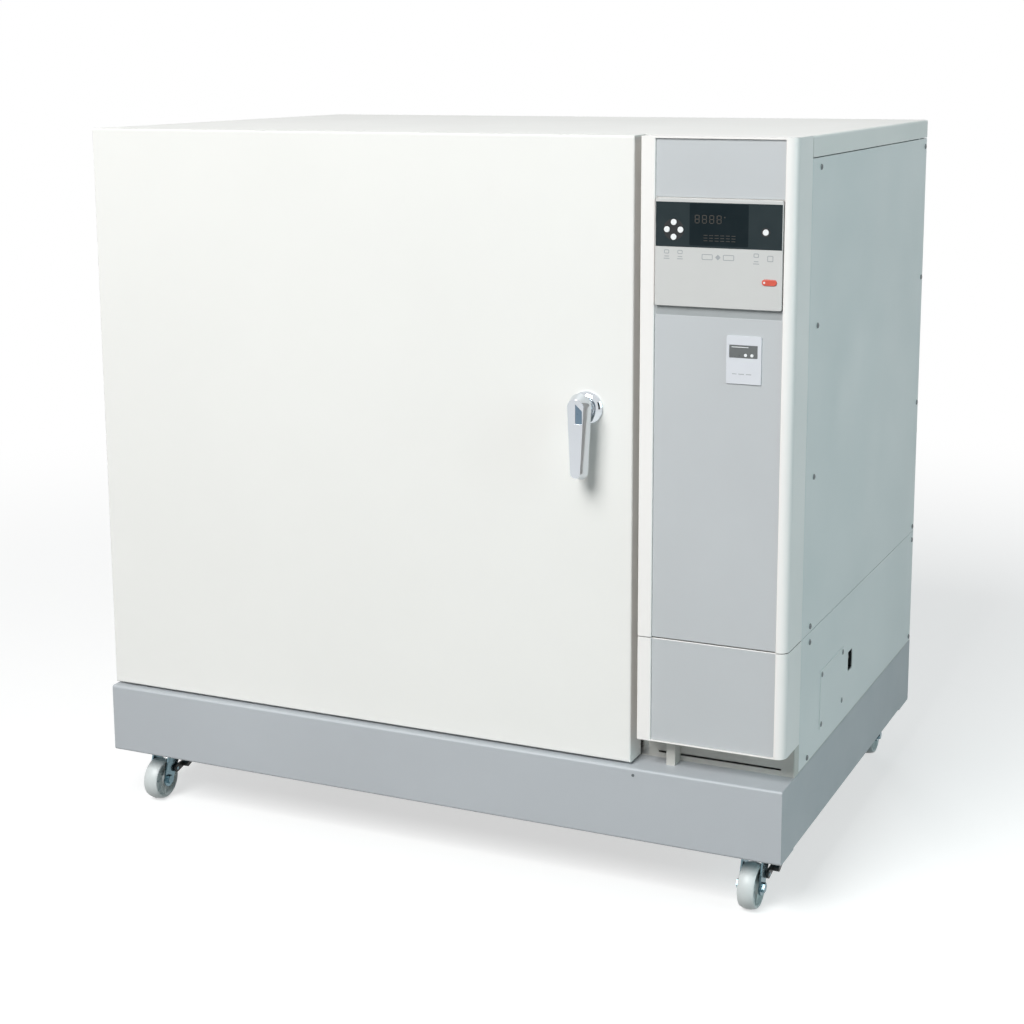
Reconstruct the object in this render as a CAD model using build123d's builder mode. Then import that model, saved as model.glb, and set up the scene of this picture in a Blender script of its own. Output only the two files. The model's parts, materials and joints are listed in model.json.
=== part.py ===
"""Laboratory drying oven on a castered plinth, with a side-hinged door and a control column."""
import os

from build123d import *

os.makedirs("parts", exist_ok=True)

# Cabinet and plinth, in millimetres
WIDTH = 1240
DEPTH = 845
HEIGHT = 987
PLINTH_HEIGHT = 120
CASTER_HEIGHT = 100

# What stands out beyond the cabinet
KNUCKLE_REACH = 15
SCREW_HEAD = 2
LEVER_REACH = 38
PORT_REACH = 60

# Sheet metal
SHEET = 1.5
BEND = 2
PLINTH_SHEET = 3
PLINTH_FLANGE = 30
PLINTH_LEDGE = 70

# The origin is under the middle of the whole object, on the floor.
LEFT = -(WIDTH + SCREW_HEAD - KNUCKLE_REACH) / 2
FRONT = -(DEPTH + PORT_REACH - LEVER_REACH) / 2
DECK = CASTER_HEIGHT + PLINTH_HEIGHT

# Below, x runs from the cabinet's left side, y from the plinth's front and z from the plinth's top.
CHASSIS_FRONT = 65
INNER_FRONT = CHASSIS_FRONT + SHEET
INNER_REAR = DEPTH - SHEET
INNER_TOP = HEIGHT - SHEET
LIP = 32
SIDE_SEAM = 216
SIDE_SEAM_GAP = 0.8
SEAM_GAP = 1.5

# Chamber: the mouth is square, and an air duct stands behind a panel on each side.
MOUTH = 600
MOUTH_LEFT = 194
MOUTH_RIGHT = MOUTH_LEFT + MOUTH
MOUTH_BOTTOM = 196
MOUTH_TOP = MOUTH_BOTTOM + MOUTH
NECK_BACK = 115
CHAMBER_BACK = NECK_BACK + 600
CHAMBER_LEFT = MOUTH_LEFT - 30
CHAMBER_RIGHT = MOUTH_RIGHT + 60
PARTITION = 990

# Door
DOOR_WIDTH = 988
DOOR_BOTTOM = 4
DOOR_FRONT = 12
DOOR_BACK = 58
PLUG_GAP = 5
PLUG_BACK = 103
GASKET_OUT = 50
GASKET_WIDTH = 26
HINGE_X = -8
HINGE_Y = 64
HINGE_HEIGHTS = (150, 830)
HINGE_LEAF = 90
KNUCKLE_RADIUS = 7
HINGE_PIN_RADIUS = 4

# Lever handle and its latch
HANDLE_X = 913
HANDLE_Z = 570
SPINDLE_RADIUS = 8
RUNNING_FIT = 0.05
CAM_FRONT = 70
CAM_BACK = 78

# Fan, heater and exhaust
FAN_Y = (NECK_BACK + CHAMBER_BACK) / 2
FAN_Z = (MOUTH_BOTTOM + MOUTH_TOP) / 2
FAN_RADIUS = 95
SHAFT_RADIUS = 8
MOTOR_FRONT = 1012
BUSH_RADIUS = 14
HEATER_X = 826
HEATER_RADIUS = 4
HEATER_LEADS = ((555, 346), (515, 346), (595, 306), (475, 306))
PORT_XS = (300, 688)
PORT_Z = 700
PORT_BORE = 25
PORT_WALL = 2
DAMPER_Y = 858
DAMPER_COLLAR = 30
DAMPER_COLLAR_LENGTH = 23
DAMPER_PIN_RADIUS = 3

# Control column
COLUMN_LEFT = 1000
COLUMN_FRONT = 7
COLUMN_RETURN = 87
STRIP_LEFT = 1022.7
STRIP_RIGHT = 1222.1
WEB_FRONT = 12
PANEL_FRONT = 10
CORNER_RADIUS = 15
COVER_BOTTOM = 48
CONTROL_BOTTOM = 736
CONTROL_TOP = 896
CONTROL_FRONT = 5.5
CONTROL_BACK = 42
STRIP_BOTTOM = 824.5
STRIP_TOP = 891
KEY_RADIUS = 4.5
KEY_GAP = 0.2
KEYS = {
    "key_up": (1053.2, 861),
    "key_down": (1053.2, 839),
    "key_left": (1042.6, 850),
    "key_right": (1063.8, 850),
    "key_start": (1194.9, 850),
}
POWER_KEY = (1201.9, 777)
POWER_KEY_LENGTH = 22.7
POWER_KEY_HEIGHT = 9.2
PROTECTOR = (1164.2, 660)
PROTECTOR_KEYS = {"protector_key_left": (1166.7, 667.5), "protector_key_right": (1176.6, 667.5)}
BREAKER_Y = 390
BREAKER_Z = 95

# Casters: the swivel centres, and the wheel that trails behind them
CASTER_INSET_X = 61
CASTER_INSET_Y = 78
WHEEL_RADIUS = 37.5
WHEEL_WIDTH = 27
WHEEL_TRAIL = 28
AXLE_RADIUS = 5
KINGPIN_RADIUS = 6
TOP_PLATE = 4
FORK_TOP = CASTER_HEIGHT - TOP_PLATE - 0.3

CABINET = Plane(origin=(LEFT, FRONT, DECK))


def plan(z):
    """Sketch plane seen from above, with x to the right and y to the back."""
    return Plane(origin=(LEFT, FRONT, DECK + z))


def elevation(y):
    """Sketch plane seen from the front, with x to the right and z up. It faces the front."""
    return Plane(origin=(LEFT, FRONT + y, DECK), x_dir=(1, 0, 0), z_dir=(0, -1, 0))


def section(x):
    """Sketch plane seen from the right, with y to the right and z up. It faces the right."""
    return Plane(origin=(LEFT + x, FRONT, DECK), x_dir=(0, 1, 0), z_dir=(1, 0, 0))


def block(x, y, z, mode=Mode.ADD):
    """Add or cut a block between two x, two y and two z places."""
    with Locations((sum(x) / 2, sum(y) / 2, sum(z) / 2)):
        Box(x[1] - x[0], y[1] - y[0], z[1] - z[0], mode=mode)


def rectangle(low, high, mode=Mode.ADD):
    """Draw a rectangle between two corners."""
    with Locations(((low[0] + high[0]) / 2, (low[1] + high[1]) / 2)):
        Rectangle(high[0] - low[0], high[1] - low[1], mode=mode)


def folded(points, radius=BEND, thickness=SHEET, side=Side.LEFT):
    """Draw the section of a folded sheet from the open line of its outer face."""
    with BuildLine() as outline:
        FilletPolyline(*points, radius=radius)
        offset(amount=thickness, side=side)
    make_face(outline.edges())


def save(name, *pieces):
    """Write one piece, or a group of separate solids, under its name."""
    node = pieces[0] if len(pieces) == 1 else Compound(children=list(pieces))
    node.label = name
    export_step(node, f"parts/{name}.step")


# Plinth: a frame of folded channels. The front and rear ones have a wide ledge and closed ends.
with BuildPart(CABINET) as plinth_front:
    with BuildSketch(section(0)):
        folded(
            [(PLINTH_LEDGE, 0), (0, 0), (0, -PLINTH_HEIGHT), (PLINTH_FLANGE, -PLINTH_HEIGHT)],
            thickness=PLINTH_SHEET,
            radius=PLINTH_SHEET + 1,
        )
    extrude(amount=WIDTH)
    for x in (0, WIDTH - PLINTH_SHEET):
        with BuildSketch(section(x)):
            rectangle((PLINTH_SHEET, -PLINTH_HEIGHT), (PLINTH_LEDGE, 0))
        extrude(amount=PLINTH_SHEET)

plinth_rear = plinth_front.part.mirror(Plane(origin=(0, FRONT + DEPTH / 2, 0), z_dir=(0, 1, 0)))

with BuildPart(CABINET) as plinth_left:
    with BuildSketch(elevation(PLINTH_LEDGE)):
        folded(
            [(PLINTH_FLANGE, 0), (0, 0), (0, -PLINTH_HEIGHT), (PLINTH_FLANGE, -PLINTH_HEIGHT)],
            thickness=PLINTH_SHEET,
            radius=PLINTH_SHEET + 1,
        )
    extrude(amount=-(DEPTH - 2 * PLINTH_LEDGE))

plinth_right = plinth_left.part.mirror(Plane(origin=(LEFT + WIDTH / 2, 0, 0), z_dir=(1, 0, 0)))
CROSS_XS = (430, 997)
CROSS_WIDTH = 40
CROSS_DROP = 60
with BuildPart(CABINET) as plinth_crossmembers:
    for x in CROSS_XS:
        with BuildSketch(elevation(PLINTH_SHEET)):
            folded(
                [
                    (x - CROSS_WIDTH / 2, -CROSS_DROP),
                    (x - CROSS_WIDTH / 2, -PLINTH_SHEET - 1),
                    (x + CROSS_WIDTH / 2, -PLINTH_SHEET - 1),
                    (x + CROSS_WIDTH / 2, -CROSS_DROP),
                ],
                thickness=PLINTH_SHEET,
                radius=PLINTH_SHEET + 1,
                side=Side.RIGHT,
            )
        extrude(amount=-(DEPTH - 2 * PLINTH_SHEET))
save(
    "plinth_frame",
    plinth_front.part,
    plinth_rear,
    plinth_left.part,
    plinth_right,
    plinth_crossmembers.part,
)

# Caster mountings: a welded corner plate, and under it the caster's top plate with its kingpin
CASTER_PLACES = {
    "front_left": (CASTER_INSET_X, CASTER_INSET_Y, 1),
    "front_right": (WIDTH - CASTER_INSET_X, CASTER_INSET_Y, 1),
    "rear_left": (CASTER_INSET_X, DEPTH - CASTER_INSET_Y, -1),
    "rear_right": (WIDTH - CASTER_INSET_X, DEPTH - CASTER_INSET_Y, -1),
}
CASTER_CENTRES = [place[:2] for place in CASTER_PLACES.values()]
CORNER_PLATE = 100
TOP_PLATE_SIDE = 68
KINGPIN_LENGTH = 10.3
KINGPIN_HEAD_RADIUS = 10
KINGPIN_HEAD = 2.5
with BuildPart(CABINET) as corner_plates:
    with BuildSketch(plan(-PLINTH_HEIGHT)):
        near = PLINTH_FLANGE + CORNER_PLATE / 2
        with Locations(*[(x, y) for x in (near, WIDTH - near) for y in (near, DEPTH - near)]):
            Rectangle(CORNER_PLATE, CORNER_PLATE)
    extrude(amount=TOP_PLATE)

with BuildPart(CABINET) as top_plates:
    with BuildSketch(plan(-PLINTH_HEIGHT - TOP_PLATE)):
        with Locations(*CASTER_CENTRES):
            RectangleRounded(TOP_PLATE_SIDE, TOP_PLATE_SIDE, 6)
    extrude(amount=TOP_PLATE)
    with BuildSketch(plan(-PLINTH_HEIGHT - TOP_PLATE)):
        with Locations(*CASTER_CENTRES):
            Circle(KINGPIN_RADIUS)
    extrude(amount=-KINGPIN_LENGTH)
    with BuildSketch(plan(-PLINTH_HEIGHT - TOP_PLATE - KINGPIN_LENGTH)):
        with Locations(*CASTER_CENTRES):
            Circle(KINGPIN_HEAD_RADIUS)
    extrude(amount=-KINGPIN_HEAD)
save("caster_plates", corner_plates.part, top_plates.part)

# Casing: folded sheets round the insulated cabinet and the control column
with BuildPart(CABINET) as casing_top:
    with BuildSketch(elevation(CHASSIS_FRONT)):
        folded(
            [(0, HEIGHT - LIP), (0, HEIGHT), (WIDTH, HEIGHT), (WIDTH, HEIGHT - LIP)],
            radius=4,
            side=Side.RIGHT,
        )
    extrude(amount=-(DEPTH - CHASSIS_FRONT))
    with BuildSketch(elevation(DEPTH - SHEET)):
        rectangle((SHEET, HEIGHT - LIP), (WIDTH - SHEET, HEIGHT - SHEET))
    extrude(amount=-SHEET)
    block((WIDTH - 2, WIDTH + 2), (0, COLUMN_RETURN + SEAM_GAP), (0, HEIGHT + 2), Mode.SUBTRACT)
save("casing_top", casing_top.part)

PANEL_FOLD = 14
PANEL_TOP = HEIGHT - LIP - SEAM_GAP
with BuildPart(CABINET) as casing_left:
    with BuildSketch(plan(SHEET)):
        folded(
            [(PANEL_FOLD, CHASSIS_FRONT), (0, CHASSIS_FRONT), (0, DEPTH), (PANEL_FOLD, DEPTH)],
            side=Side.RIGHT,
        )
    extrude(amount=PANEL_TOP - SHEET)
save("casing_left", casing_left.part)

SIDE_FRONT = COLUMN_RETURN + SEAM_GAP
with BuildPart(CABINET) as casing_right_upper:
    with BuildSketch(plan(SIDE_SEAM + SIDE_SEAM_GAP / 2)):
        folded(
            [
                (WIDTH - PANEL_FOLD, SIDE_FRONT),
                (WIDTH, SIDE_FRONT),
                (WIDTH, DEPTH),
                (WIDTH - PANEL_FOLD, DEPTH),
            ],
            side=Side.LEFT,
        )
    extrude(amount=PANEL_TOP - SIDE_SEAM - SIDE_SEAM_GAP / 2)
save("casing_right_upper", casing_right_upper.part)

BREAKER_WINDOW = (28, 34)
SERVICE_HOLE = ((224, 52), (323, 111))
with BuildPart(CABINET) as casing_right_lower:
    with BuildSketch(plan(SHEET)):
        folded(
            [
                (WIDTH - PANEL_FOLD, SIDE_FRONT),
                (WIDTH, SIDE_FRONT),
                (WIDTH, DEPTH),
                (WIDTH - PANEL_FOLD, DEPTH),
            ],
            side=Side.LEFT,
        )
    extrude(amount=SIDE_SEAM - SIDE_SEAM_GAP / 2 - SHEET)
    with BuildSketch(section(WIDTH - 5)):
        with Locations((BREAKER_Y, BREAKER_Z)):
            RectangleRounded(*BREAKER_WINDOW, 3)
        rectangle(*SERVICE_HOLE)
    extrude(amount=10, mode=Mode.SUBTRACT)
save("casing_right_lower", casing_right_lower.part)

LOUVRE_PLACES = ((1110, 200), (1110, 800))
LOUVRE = (130, 6)
LOUVRE_PITCH = 18
GLAND = (1150, 70)
GLAND_RADIUS = 12.5
with BuildPart(CABINET) as casing_rear:
    with BuildSketch(elevation(INNER_REAR)):
        rectangle((PANEL_FOLD + 1, SHEET), (WIDTH - PANEL_FOLD - 1, PANEL_TOP))
        with Locations(*[(x, PORT_Z) for x in PORT_XS]):
            Circle(PORT_BORE + PORT_WALL, mode=Mode.SUBTRACT)
        with Locations(GLAND):
            Circle(GLAND_RADIUS, mode=Mode.SUBTRACT)
        with Locations(*LOUVRE_PLACES):
            with GridLocations(0, LOUVRE_PITCH, 1, 8):
                SlotOverall(*LOUVRE, mode=Mode.SUBTRACT)
    extrude(amount=-SHEET)
save("casing_rear", casing_rear.part)

# Front frame behind the door, with the square mouth and the latch slot
CAM_SLOT = (28, 60)
CAM_SLOT_Z = HANDLE_Z + 16
with BuildPart(CABINET) as front_frame:
    with BuildSketch(elevation(CHASSIS_FRONT)):
        rectangle((PANEL_FOLD + 1, SHEET), (COLUMN_LEFT, INNER_TOP))
        rectangle((MOUTH_LEFT, MOUTH_BOTTOM), (MOUTH_RIGHT, MOUTH_TOP), Mode.SUBTRACT)
        with Locations((HANDLE_X, CAM_SLOT_Z)):
            RectangleRounded(*CAM_SLOT, 6, mode=Mode.SUBTRACT)
    extrude(amount=-SHEET)

POCKET_X = (894, 966)
POCKET_Z = (542, 622)
POCKET_BACK = 92
KEEPER_LEFT = 930
KEEPER_HALF_HEIGHT = 15
KEEPER_PLAY = 0.5
with BuildPart(CABINET) as latch_keeper:
    block(POCKET_X, (INNER_FRONT, POCKET_BACK), POCKET_Z)
    block(
        (POCKET_X[0] + SHEET, POCKET_X[1] - SHEET),
        (INNER_FRONT, POCKET_BACK - SHEET),
        (POCKET_Z[0] + SHEET, POCKET_Z[1] - SHEET),
        Mode.SUBTRACT,
    )
    block(
        (KEEPER_LEFT, POCKET_X[1] - SHEET),
        (INNER_FRONT, CAM_FRONT - KEEPER_PLAY),
        (HANDLE_Z - KEEPER_HALF_HEIGHT, HANDLE_Z + KEEPER_HALF_HEIGHT),
    )
save("front_frame", front_frame.part, latch_keeper.part)

# Chassis sheets: the floor under everything, and the wall between the chamber and the column
with BuildPart(CABINET) as chassis_floor:
    block((0, WIDTH), (CHASSIS_FRONT, DEPTH), (0, SHEET))

with BuildPart(CABINET) as column_partition:
    with BuildSketch(section(PARTITION)):
        rectangle((INNER_FRONT, SHEET), (INNER_REAR - SHEET, INNER_TOP))
        with Locations((FAN_Y, FAN_Z)):
            Circle(BUSH_RADIUS + 4, mode=Mode.SUBTRACT)
        with Locations(*HEATER_LEADS):
            Circle(2 * HEATER_RADIUS, mode=Mode.SUBTRACT)
    extrude(amount=SHEET)
save("chassis_sheets", chassis_floor.part, column_partition.part)

# Chamber liner: a welded box with a narrower neck at the mouth
with BuildPart(CABINET) as chamber_liner:
    block(
        (CHAMBER_LEFT - SHEET, CHAMBER_RIGHT + SHEET),
        (NECK_BACK - SHEET, CHAMBER_BACK + SHEET),
        (MOUTH_BOTTOM - SHEET, MOUTH_TOP + SHEET),
    )
    block(
        (MOUTH_LEFT - SHEET, MOUTH_RIGHT + SHEET),
        (INNER_FRONT, NECK_BACK),
        (MOUTH_BOTTOM - SHEET, MOUTH_TOP + SHEET),
    )
    block(
        (CHAMBER_LEFT, CHAMBER_RIGHT),
        (NECK_BACK, CHAMBER_BACK),
        (MOUTH_BOTTOM, MOUTH_TOP),
        Mode.SUBTRACT,
    )
    block(
        (MOUTH_LEFT, MOUTH_RIGHT),
        (INNER_FRONT, NECK_BACK),
        (MOUTH_BOTTOM, MOUTH_TOP),
        Mode.SUBTRACT,
    )
    with BuildSketch(section(CHAMBER_RIGHT)):
        with Locations((FAN_Y, FAN_Z)):
            Circle(BUSH_RADIUS)
        with Locations(*HEATER_LEADS):
            Circle(HEATER_RADIUS)
    extrude(amount=SHEET, mode=Mode.SUBTRACT)
    with BuildSketch(elevation(CHAMBER_BACK)):
        with Locations(*[(x, PORT_Z) for x in PORT_XS]):
            Circle(PORT_BORE)
    extrude(amount=-SHEET, mode=Mode.SUBTRACT)
save("chamber_liner", chamber_liner.part)

# Insulation: one wool slab on each side of the liner
with BuildPart(CABINET) as insulation_floor:
    block(
        (SHEET + 0.5, PARTITION),
        (INNER_FRONT + SHEET, INNER_REAR - SHEET - 0.5),
        (SHEET, MOUTH_BOTTOM - SHEET),
    )

with BuildPart(CABINET) as insulation_roof:
    block(
        (SHEET + 0.5, PARTITION),
        (INNER_FRONT, INNER_REAR - 0.5),
        (MOUTH_TOP + SHEET, INNER_TOP - 3),
    )

with BuildPart(CABINET) as insulation_left:
    with BuildSketch(plan(MOUTH_BOTTOM - SHEET)):
        rectangle((SHEET + 0.5, INNER_FRONT), (CHAMBER_LEFT - SHEET, INNER_REAR - 0.5))
        rectangle((CHAMBER_LEFT - SHEET, INNER_FRONT), (MOUTH_LEFT - SHEET, NECK_BACK - SHEET))
    extrude(amount=MOUTH + 2 * SHEET)

with BuildPart(CABINET) as insulation_right:
    with BuildSketch(plan(MOUTH_BOTTOM - SHEET)):
        rectangle((CHAMBER_RIGHT + SHEET, INNER_FRONT), (PARTITION, INNER_REAR - 0.5))
        rectangle((MOUTH_RIGHT + SHEET, INNER_FRONT), (CHAMBER_RIGHT + SHEET, NECK_BACK - SHEET))
    extrude(amount=MOUTH + 2 * SHEET)
    block(POCKET_X, (INNER_FRONT, POCKET_BACK), POCKET_Z, Mode.SUBTRACT)
    with BuildSketch(section(CHAMBER_RIGHT)):
        with Locations((FAN_Y, FAN_Z)):
            Circle(BUSH_RADIUS)
        with Locations(*HEATER_LEADS):
            Circle(HEATER_RADIUS)
    extrude(amount=PARTITION - CHAMBER_RIGHT, mode=Mode.SUBTRACT)

with BuildPart(CABINET) as insulation_rear:
    block(
        (CHAMBER_LEFT - SHEET, CHAMBER_RIGHT + SHEET),
        (CHAMBER_BACK + SHEET, INNER_REAR - 0.5),
        (MOUTH_BOTTOM - SHEET, MOUTH_TOP + SHEET),
    )
    with BuildSketch(elevation(CHAMBER_BACK)):
        with Locations(*[(x, PORT_Z) for x in PORT_XS]):
            Circle(PORT_BORE + PORT_WALL)
    extrude(amount=-(DEPTH - CHAMBER_BACK), mode=Mode.SUBTRACT)
save(
    "insulation",
    insulation_floor.part,
    insulation_roof.part,
    insulation_left.part,
    insulation_right.part,
    insulation_rear.part,
)

# Duct panels: punched sheets on both sides of the chamber, the right one with the fan's inlet
DUCT_SLOT = (60, 14)
DUCT_SLOT_INSET = 90
INLET_RADIUS = 72
GUARD_RINGS = (24, 48)
with BuildPart(CABINET) as duct_panels:
    for x in (MOUTH_LEFT - SHEET, MOUTH_RIGHT):
        with BuildSketch(section(x)):
            rectangle((NECK_BACK, MOUTH_BOTTOM), (CHAMBER_BACK, MOUTH_TOP))
            with Locations(
                (NECK_BACK + DUCT_SLOT_INSET, FAN_Z), (CHAMBER_BACK - DUCT_SLOT_INSET, FAN_Z)
            ):
                with GridLocations(40, 84, 2, 6):
                    SlotOverall(*DUCT_SLOT, rotation=90, mode=Mode.SUBTRACT)
            if x == MOUTH_RIGHT:
                with Locations((FAN_Y, FAN_Z)):
                    Circle(INLET_RADIUS, mode=Mode.SUBTRACT)
        extrude(amount=SHEET)
    with BuildSketch(section(MOUTH_RIGHT)):
        with Locations((FAN_Y, FAN_Z)):
            for radius in GUARD_RINGS:
                Circle(radius + 2)
                Circle(radius - 2, mode=Mode.SUBTRACT)
            with PolarLocations(GUARD_RINGS[1], 4):
                Rectangle(INLET_RADIUS - GUARD_RINGS[0] + 2, 5)
    extrude(amount=SHEET)
save("duct_panels", duct_panels.part)

# Shelf uprights with slots, and the hooks that carry two wire shelves
UPRIGHT = (20, 7)
UPRIGHT_YS = (160, 670)
SHELF_HEIGHTS = {"shelf_lower": 376, "shelf_upper": 586}
SLOT_PITCH = 30
with BuildPart(CABINET) as shelf_uprights:
    for x in (MOUTH_LEFT, MOUTH_RIGHT - UPRIGHT[1]):
        with BuildSketch(section(x)):
            for y in UPRIGHT_YS:
                with Locations((y, FAN_Z)):
                    Rectangle(UPRIGHT[0], MOUTH - 20)
                with Locations((y, FAN_Z)):
                    with GridLocations(0, SLOT_PITCH, 1, 17):
                        Rectangle(9, 5, mode=Mode.SUBTRACT)
        extrude(amount=UPRIGHT[1])

with BuildPart(CABINET) as shelf_hooks:
    for shelf_z in SHELF_HEIGHTS.values():
        for side, x in ((1, MOUTH_LEFT), (-1, MOUTH_RIGHT)):
            for y in UPRIGHT_YS:
                with BuildSketch(elevation(y - 4)):
                    with BuildLine():
                        Polyline(
                            (x, shelf_z - 2.5),
                            (x, shelf_z + 2.5),
                            (x + side * 8, shelf_z + 2.5),
                            (x + side * 18, shelf_z + 2.5),
                            (x + side * 18, shelf_z),
                            (x + side * 8, shelf_z - 14),
                            (x + side * 7, shelf_z - 14),
                            (x + side * 7, shelf_z - 2.5),
                            close=True,
                        )
                    make_face()
                extrude(amount=-8)
save("shelf_uprights", shelf_uprights.part, shelf_hooks.part)

SHELF_LEFT = MOUTH_LEFT + 12
SHELF_RIGHT = MOUTH_RIGHT - 12
SHELF_FRONT = 132
SHELF_BACK = 700
FRAME_ROD = 4
WIRE = 2
for shelf_name, hook_z in SHELF_HEIGHTS.items():
    rod_z = hook_z + 2.5 + FRAME_ROD
    with BuildPart(CABINET) as shelf:
        with BuildLine(plan(rod_z)) as rim:
            with Locations(((SHELF_LEFT + SHELF_RIGHT) / 2, (SHELF_FRONT + SHELF_BACK) / 2)):
                FilletPolyline(
                    (SHELF_LEFT, SHELF_FRONT),
                    (SHELF_RIGHT, SHELF_FRONT),
                    (SHELF_RIGHT, SHELF_BACK),
                    (SHELF_LEFT, SHELF_BACK),
                    radius=20,
                    close=True,
                )
        with BuildSketch(Plane(origin=rim.line @ 0, z_dir=rim.line % 0)):
            Circle(FRAME_ROD)
        sweep()
        wire_length = SHELF_BACK - SHELF_FRONT
        with Locations(((SHELF_LEFT + SHELF_RIGHT) / 2, (SHELF_FRONT + SHELF_BACK) / 2, rod_z + 3)):
            with GridLocations(26, 0, 21, 1):
                Cylinder(WIRE, wire_length, rotation=(90, 0, 0))
        for y in (290, 542):
            with Locations(((SHELF_LEFT + SHELF_RIGHT) / 2, y, rod_z)):
                Cylinder(3, SHELF_RIGHT - SHELF_LEFT, rotation=(0, 90, 0))
    save(shelf_name, shelf.part)

# Heater: two tube elements round the fan, with their ends led out to the column
with BuildPart(CABINET) as heater_elements:
    for lead_in, lead_out in (HEATER_LEADS[:2], HEATER_LEADS[2:]):
        y1, z0 = lead_in
        y0 = 2 * FAN_Y - y1
        z1 = 2 * FAN_Z - z0
        with BuildLine(CABINET) as element:
            FilletPolyline(
                (PARTITION + 18, y1, z0),
                (HEATER_X, y1, z0),
                (HEATER_X, y1, z1),
                (HEATER_X, y0, z1),
                (HEATER_X, y0, z0),
                (HEATER_X, *lead_out),
                (PARTITION + 18, *lead_out),
                radius=15,
            )
        with BuildSketch(Plane(origin=element.line @ 0, z_dir=element.line % 0)):
            Circle(HEATER_RADIUS)
        sweep()
save("heater_elements", heater_elements.part)

# Fan: a radial impeller on a long shaft, and its motor on the partition


def fan_section(x):
    """Sketch plane across the fan's axis, seen from the right."""
    return Plane(
        origin=(LEFT + x, FRONT + FAN_Y, DECK + FAN_Z), x_dir=(0, 1, 0), z_dir=(1, 0, 0)
    )


IMPELLER = (800, 842)
with BuildPart(CABINET) as impeller:
    with BuildSketch(fan_section(IMPELLER[1] - 2)):
        Circle(FAN_RADIUS)
    extrude(amount=2)
    with BuildSketch(fan_section(IMPELLER[0])):
        Circle(FAN_RADIUS)
        Circle(68, mode=Mode.SUBTRACT)
    extrude(amount=2)
    with BuildSketch(fan_section(IMPELLER[0] + 1)):
        with PolarLocations(77, 12):
            Rectangle(34, 2, rotation=28)
    extrude(amount=IMPELLER[1] - IMPELLER[0] - 2)
    with BuildSketch(fan_section(IMPELLER[1] - 22)):
        Circle(15)
    extrude(amount=26)
    with BuildSketch(fan_section(IMPELLER[0])):
        Circle(SHAFT_RADIUS)
    extrude(amount=60, mode=Mode.SUBTRACT)

with BuildPart(CABINET) as fan_shaft:
    with BuildSketch(fan_section(IMPELLER[1] - 24)):
        Circle(SHAFT_RADIUS)
    extrude(amount=MOTOR_FRONT + 30 - IMPELLER[1] + 24)
save("fan_impeller", impeller.part, fan_shaft.part)

with BuildPart(CABINET) as wall_bush:
    with BuildSketch(fan_section(CHAMBER_RIGHT)):
        Circle(BUSH_RADIUS)
        Circle(SHAFT_RADIUS + RUNNING_FIT, mode=Mode.SUBTRACT)
    extrude(amount=PARTITION - CHAMBER_RIGHT)

MOTOR_LENGTH = 120
BRACKET_SHEET = 3
with BuildPart(CABINET) as motor:
    with BuildSketch(fan_section(MOTOR_FRONT)):
        Circle(58)
    extrude(amount=MOTOR_LENGTH)
    fillet(motor.edges().filter_by(GeomType.CIRCLE), radius=8)
    with BuildSketch(fan_section(MOTOR_FRONT + 18)):
        Circle(64)
    extrude(amount=MOTOR_LENGTH - 40)
    with BuildSketch(fan_section(MOTOR_FRONT + 17)):
        with PolarLocations(64.5, 24):
            Rectangle(9, 4)
    extrude(amount=MOTOR_LENGTH - 38, mode=Mode.SUBTRACT)
    with BuildSketch(fan_section(MOTOR_FRONT - 1)):
        Circle(SHAFT_RADIUS + RUNNING_FIT)
    extrude(amount=34, mode=Mode.SUBTRACT)

with BuildPart(CABINET) as motor_bracket:
    with BuildSketch(plan(FAN_Z - 84)):
        folded(
            [
                (PARTITION + SHEET, FAN_Y - 110),
                (PARTITION + SHEET, FAN_Y - 72),
                (MOTOR_FRONT - BRACKET_SHEET, FAN_Y - 72),
                (MOTOR_FRONT - BRACKET_SHEET, FAN_Y + 72),
                (PARTITION + SHEET, FAN_Y + 72),
                (PARTITION + SHEET, FAN_Y + 110),
            ],
            radius=4,
            thickness=BRACKET_SHEET,
            side=Side.RIGHT,
        )
    extrude(amount=168)
    with BuildSketch(fan_section(PARTITION)):
        Circle(20)
    extrude(amount=40, mode=Mode.SUBTRACT)
save("fan_motor", motor.part, motor_bracket.part, wall_bush.part)

# Exhaust ports on the back, each a tube with a wall flange and a collar for its butterfly damper
with BuildPart(CABINET) as exhaust_ports:
    places = [(x, PORT_Z) for x in PORT_XS]
    with BuildSketch(elevation(CHAMBER_BACK + SHEET)):
        with Locations(*places):
            Circle(PORT_BORE + PORT_WALL)
            Circle(PORT_BORE, mode=Mode.SUBTRACT)
    extrude(amount=-(DEPTH + PORT_REACH - CHAMBER_BACK - SHEET))
    with BuildSketch(elevation(DEPTH)):
        with Locations(*places):
            Circle(PORT_BORE + PORT_WALL + 16)
            Circle(PORT_BORE, mode=Mode.SUBTRACT)
    extrude(amount=-2.5)
    with BuildSketch(elevation(DEPTH)):
        with Locations(*places):
            Circle(DAMPER_COLLAR)
            Circle(PORT_BORE, mode=Mode.SUBTRACT)
    extrude(amount=-DAMPER_COLLAR_LENGTH)
    with BuildSketch(plan(PORT_Z)):
        with Locations(*[(x, DAMPER_Y) for x in PORT_XS]):
            Circle(DAMPER_PIN_RADIUS + RUNNING_FIT)
    extrude(amount=DAMPER_COLLAR + 5, both=True, mode=Mode.SUBTRACT)
save("exhaust_ports", exhaust_ports.part)

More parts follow.
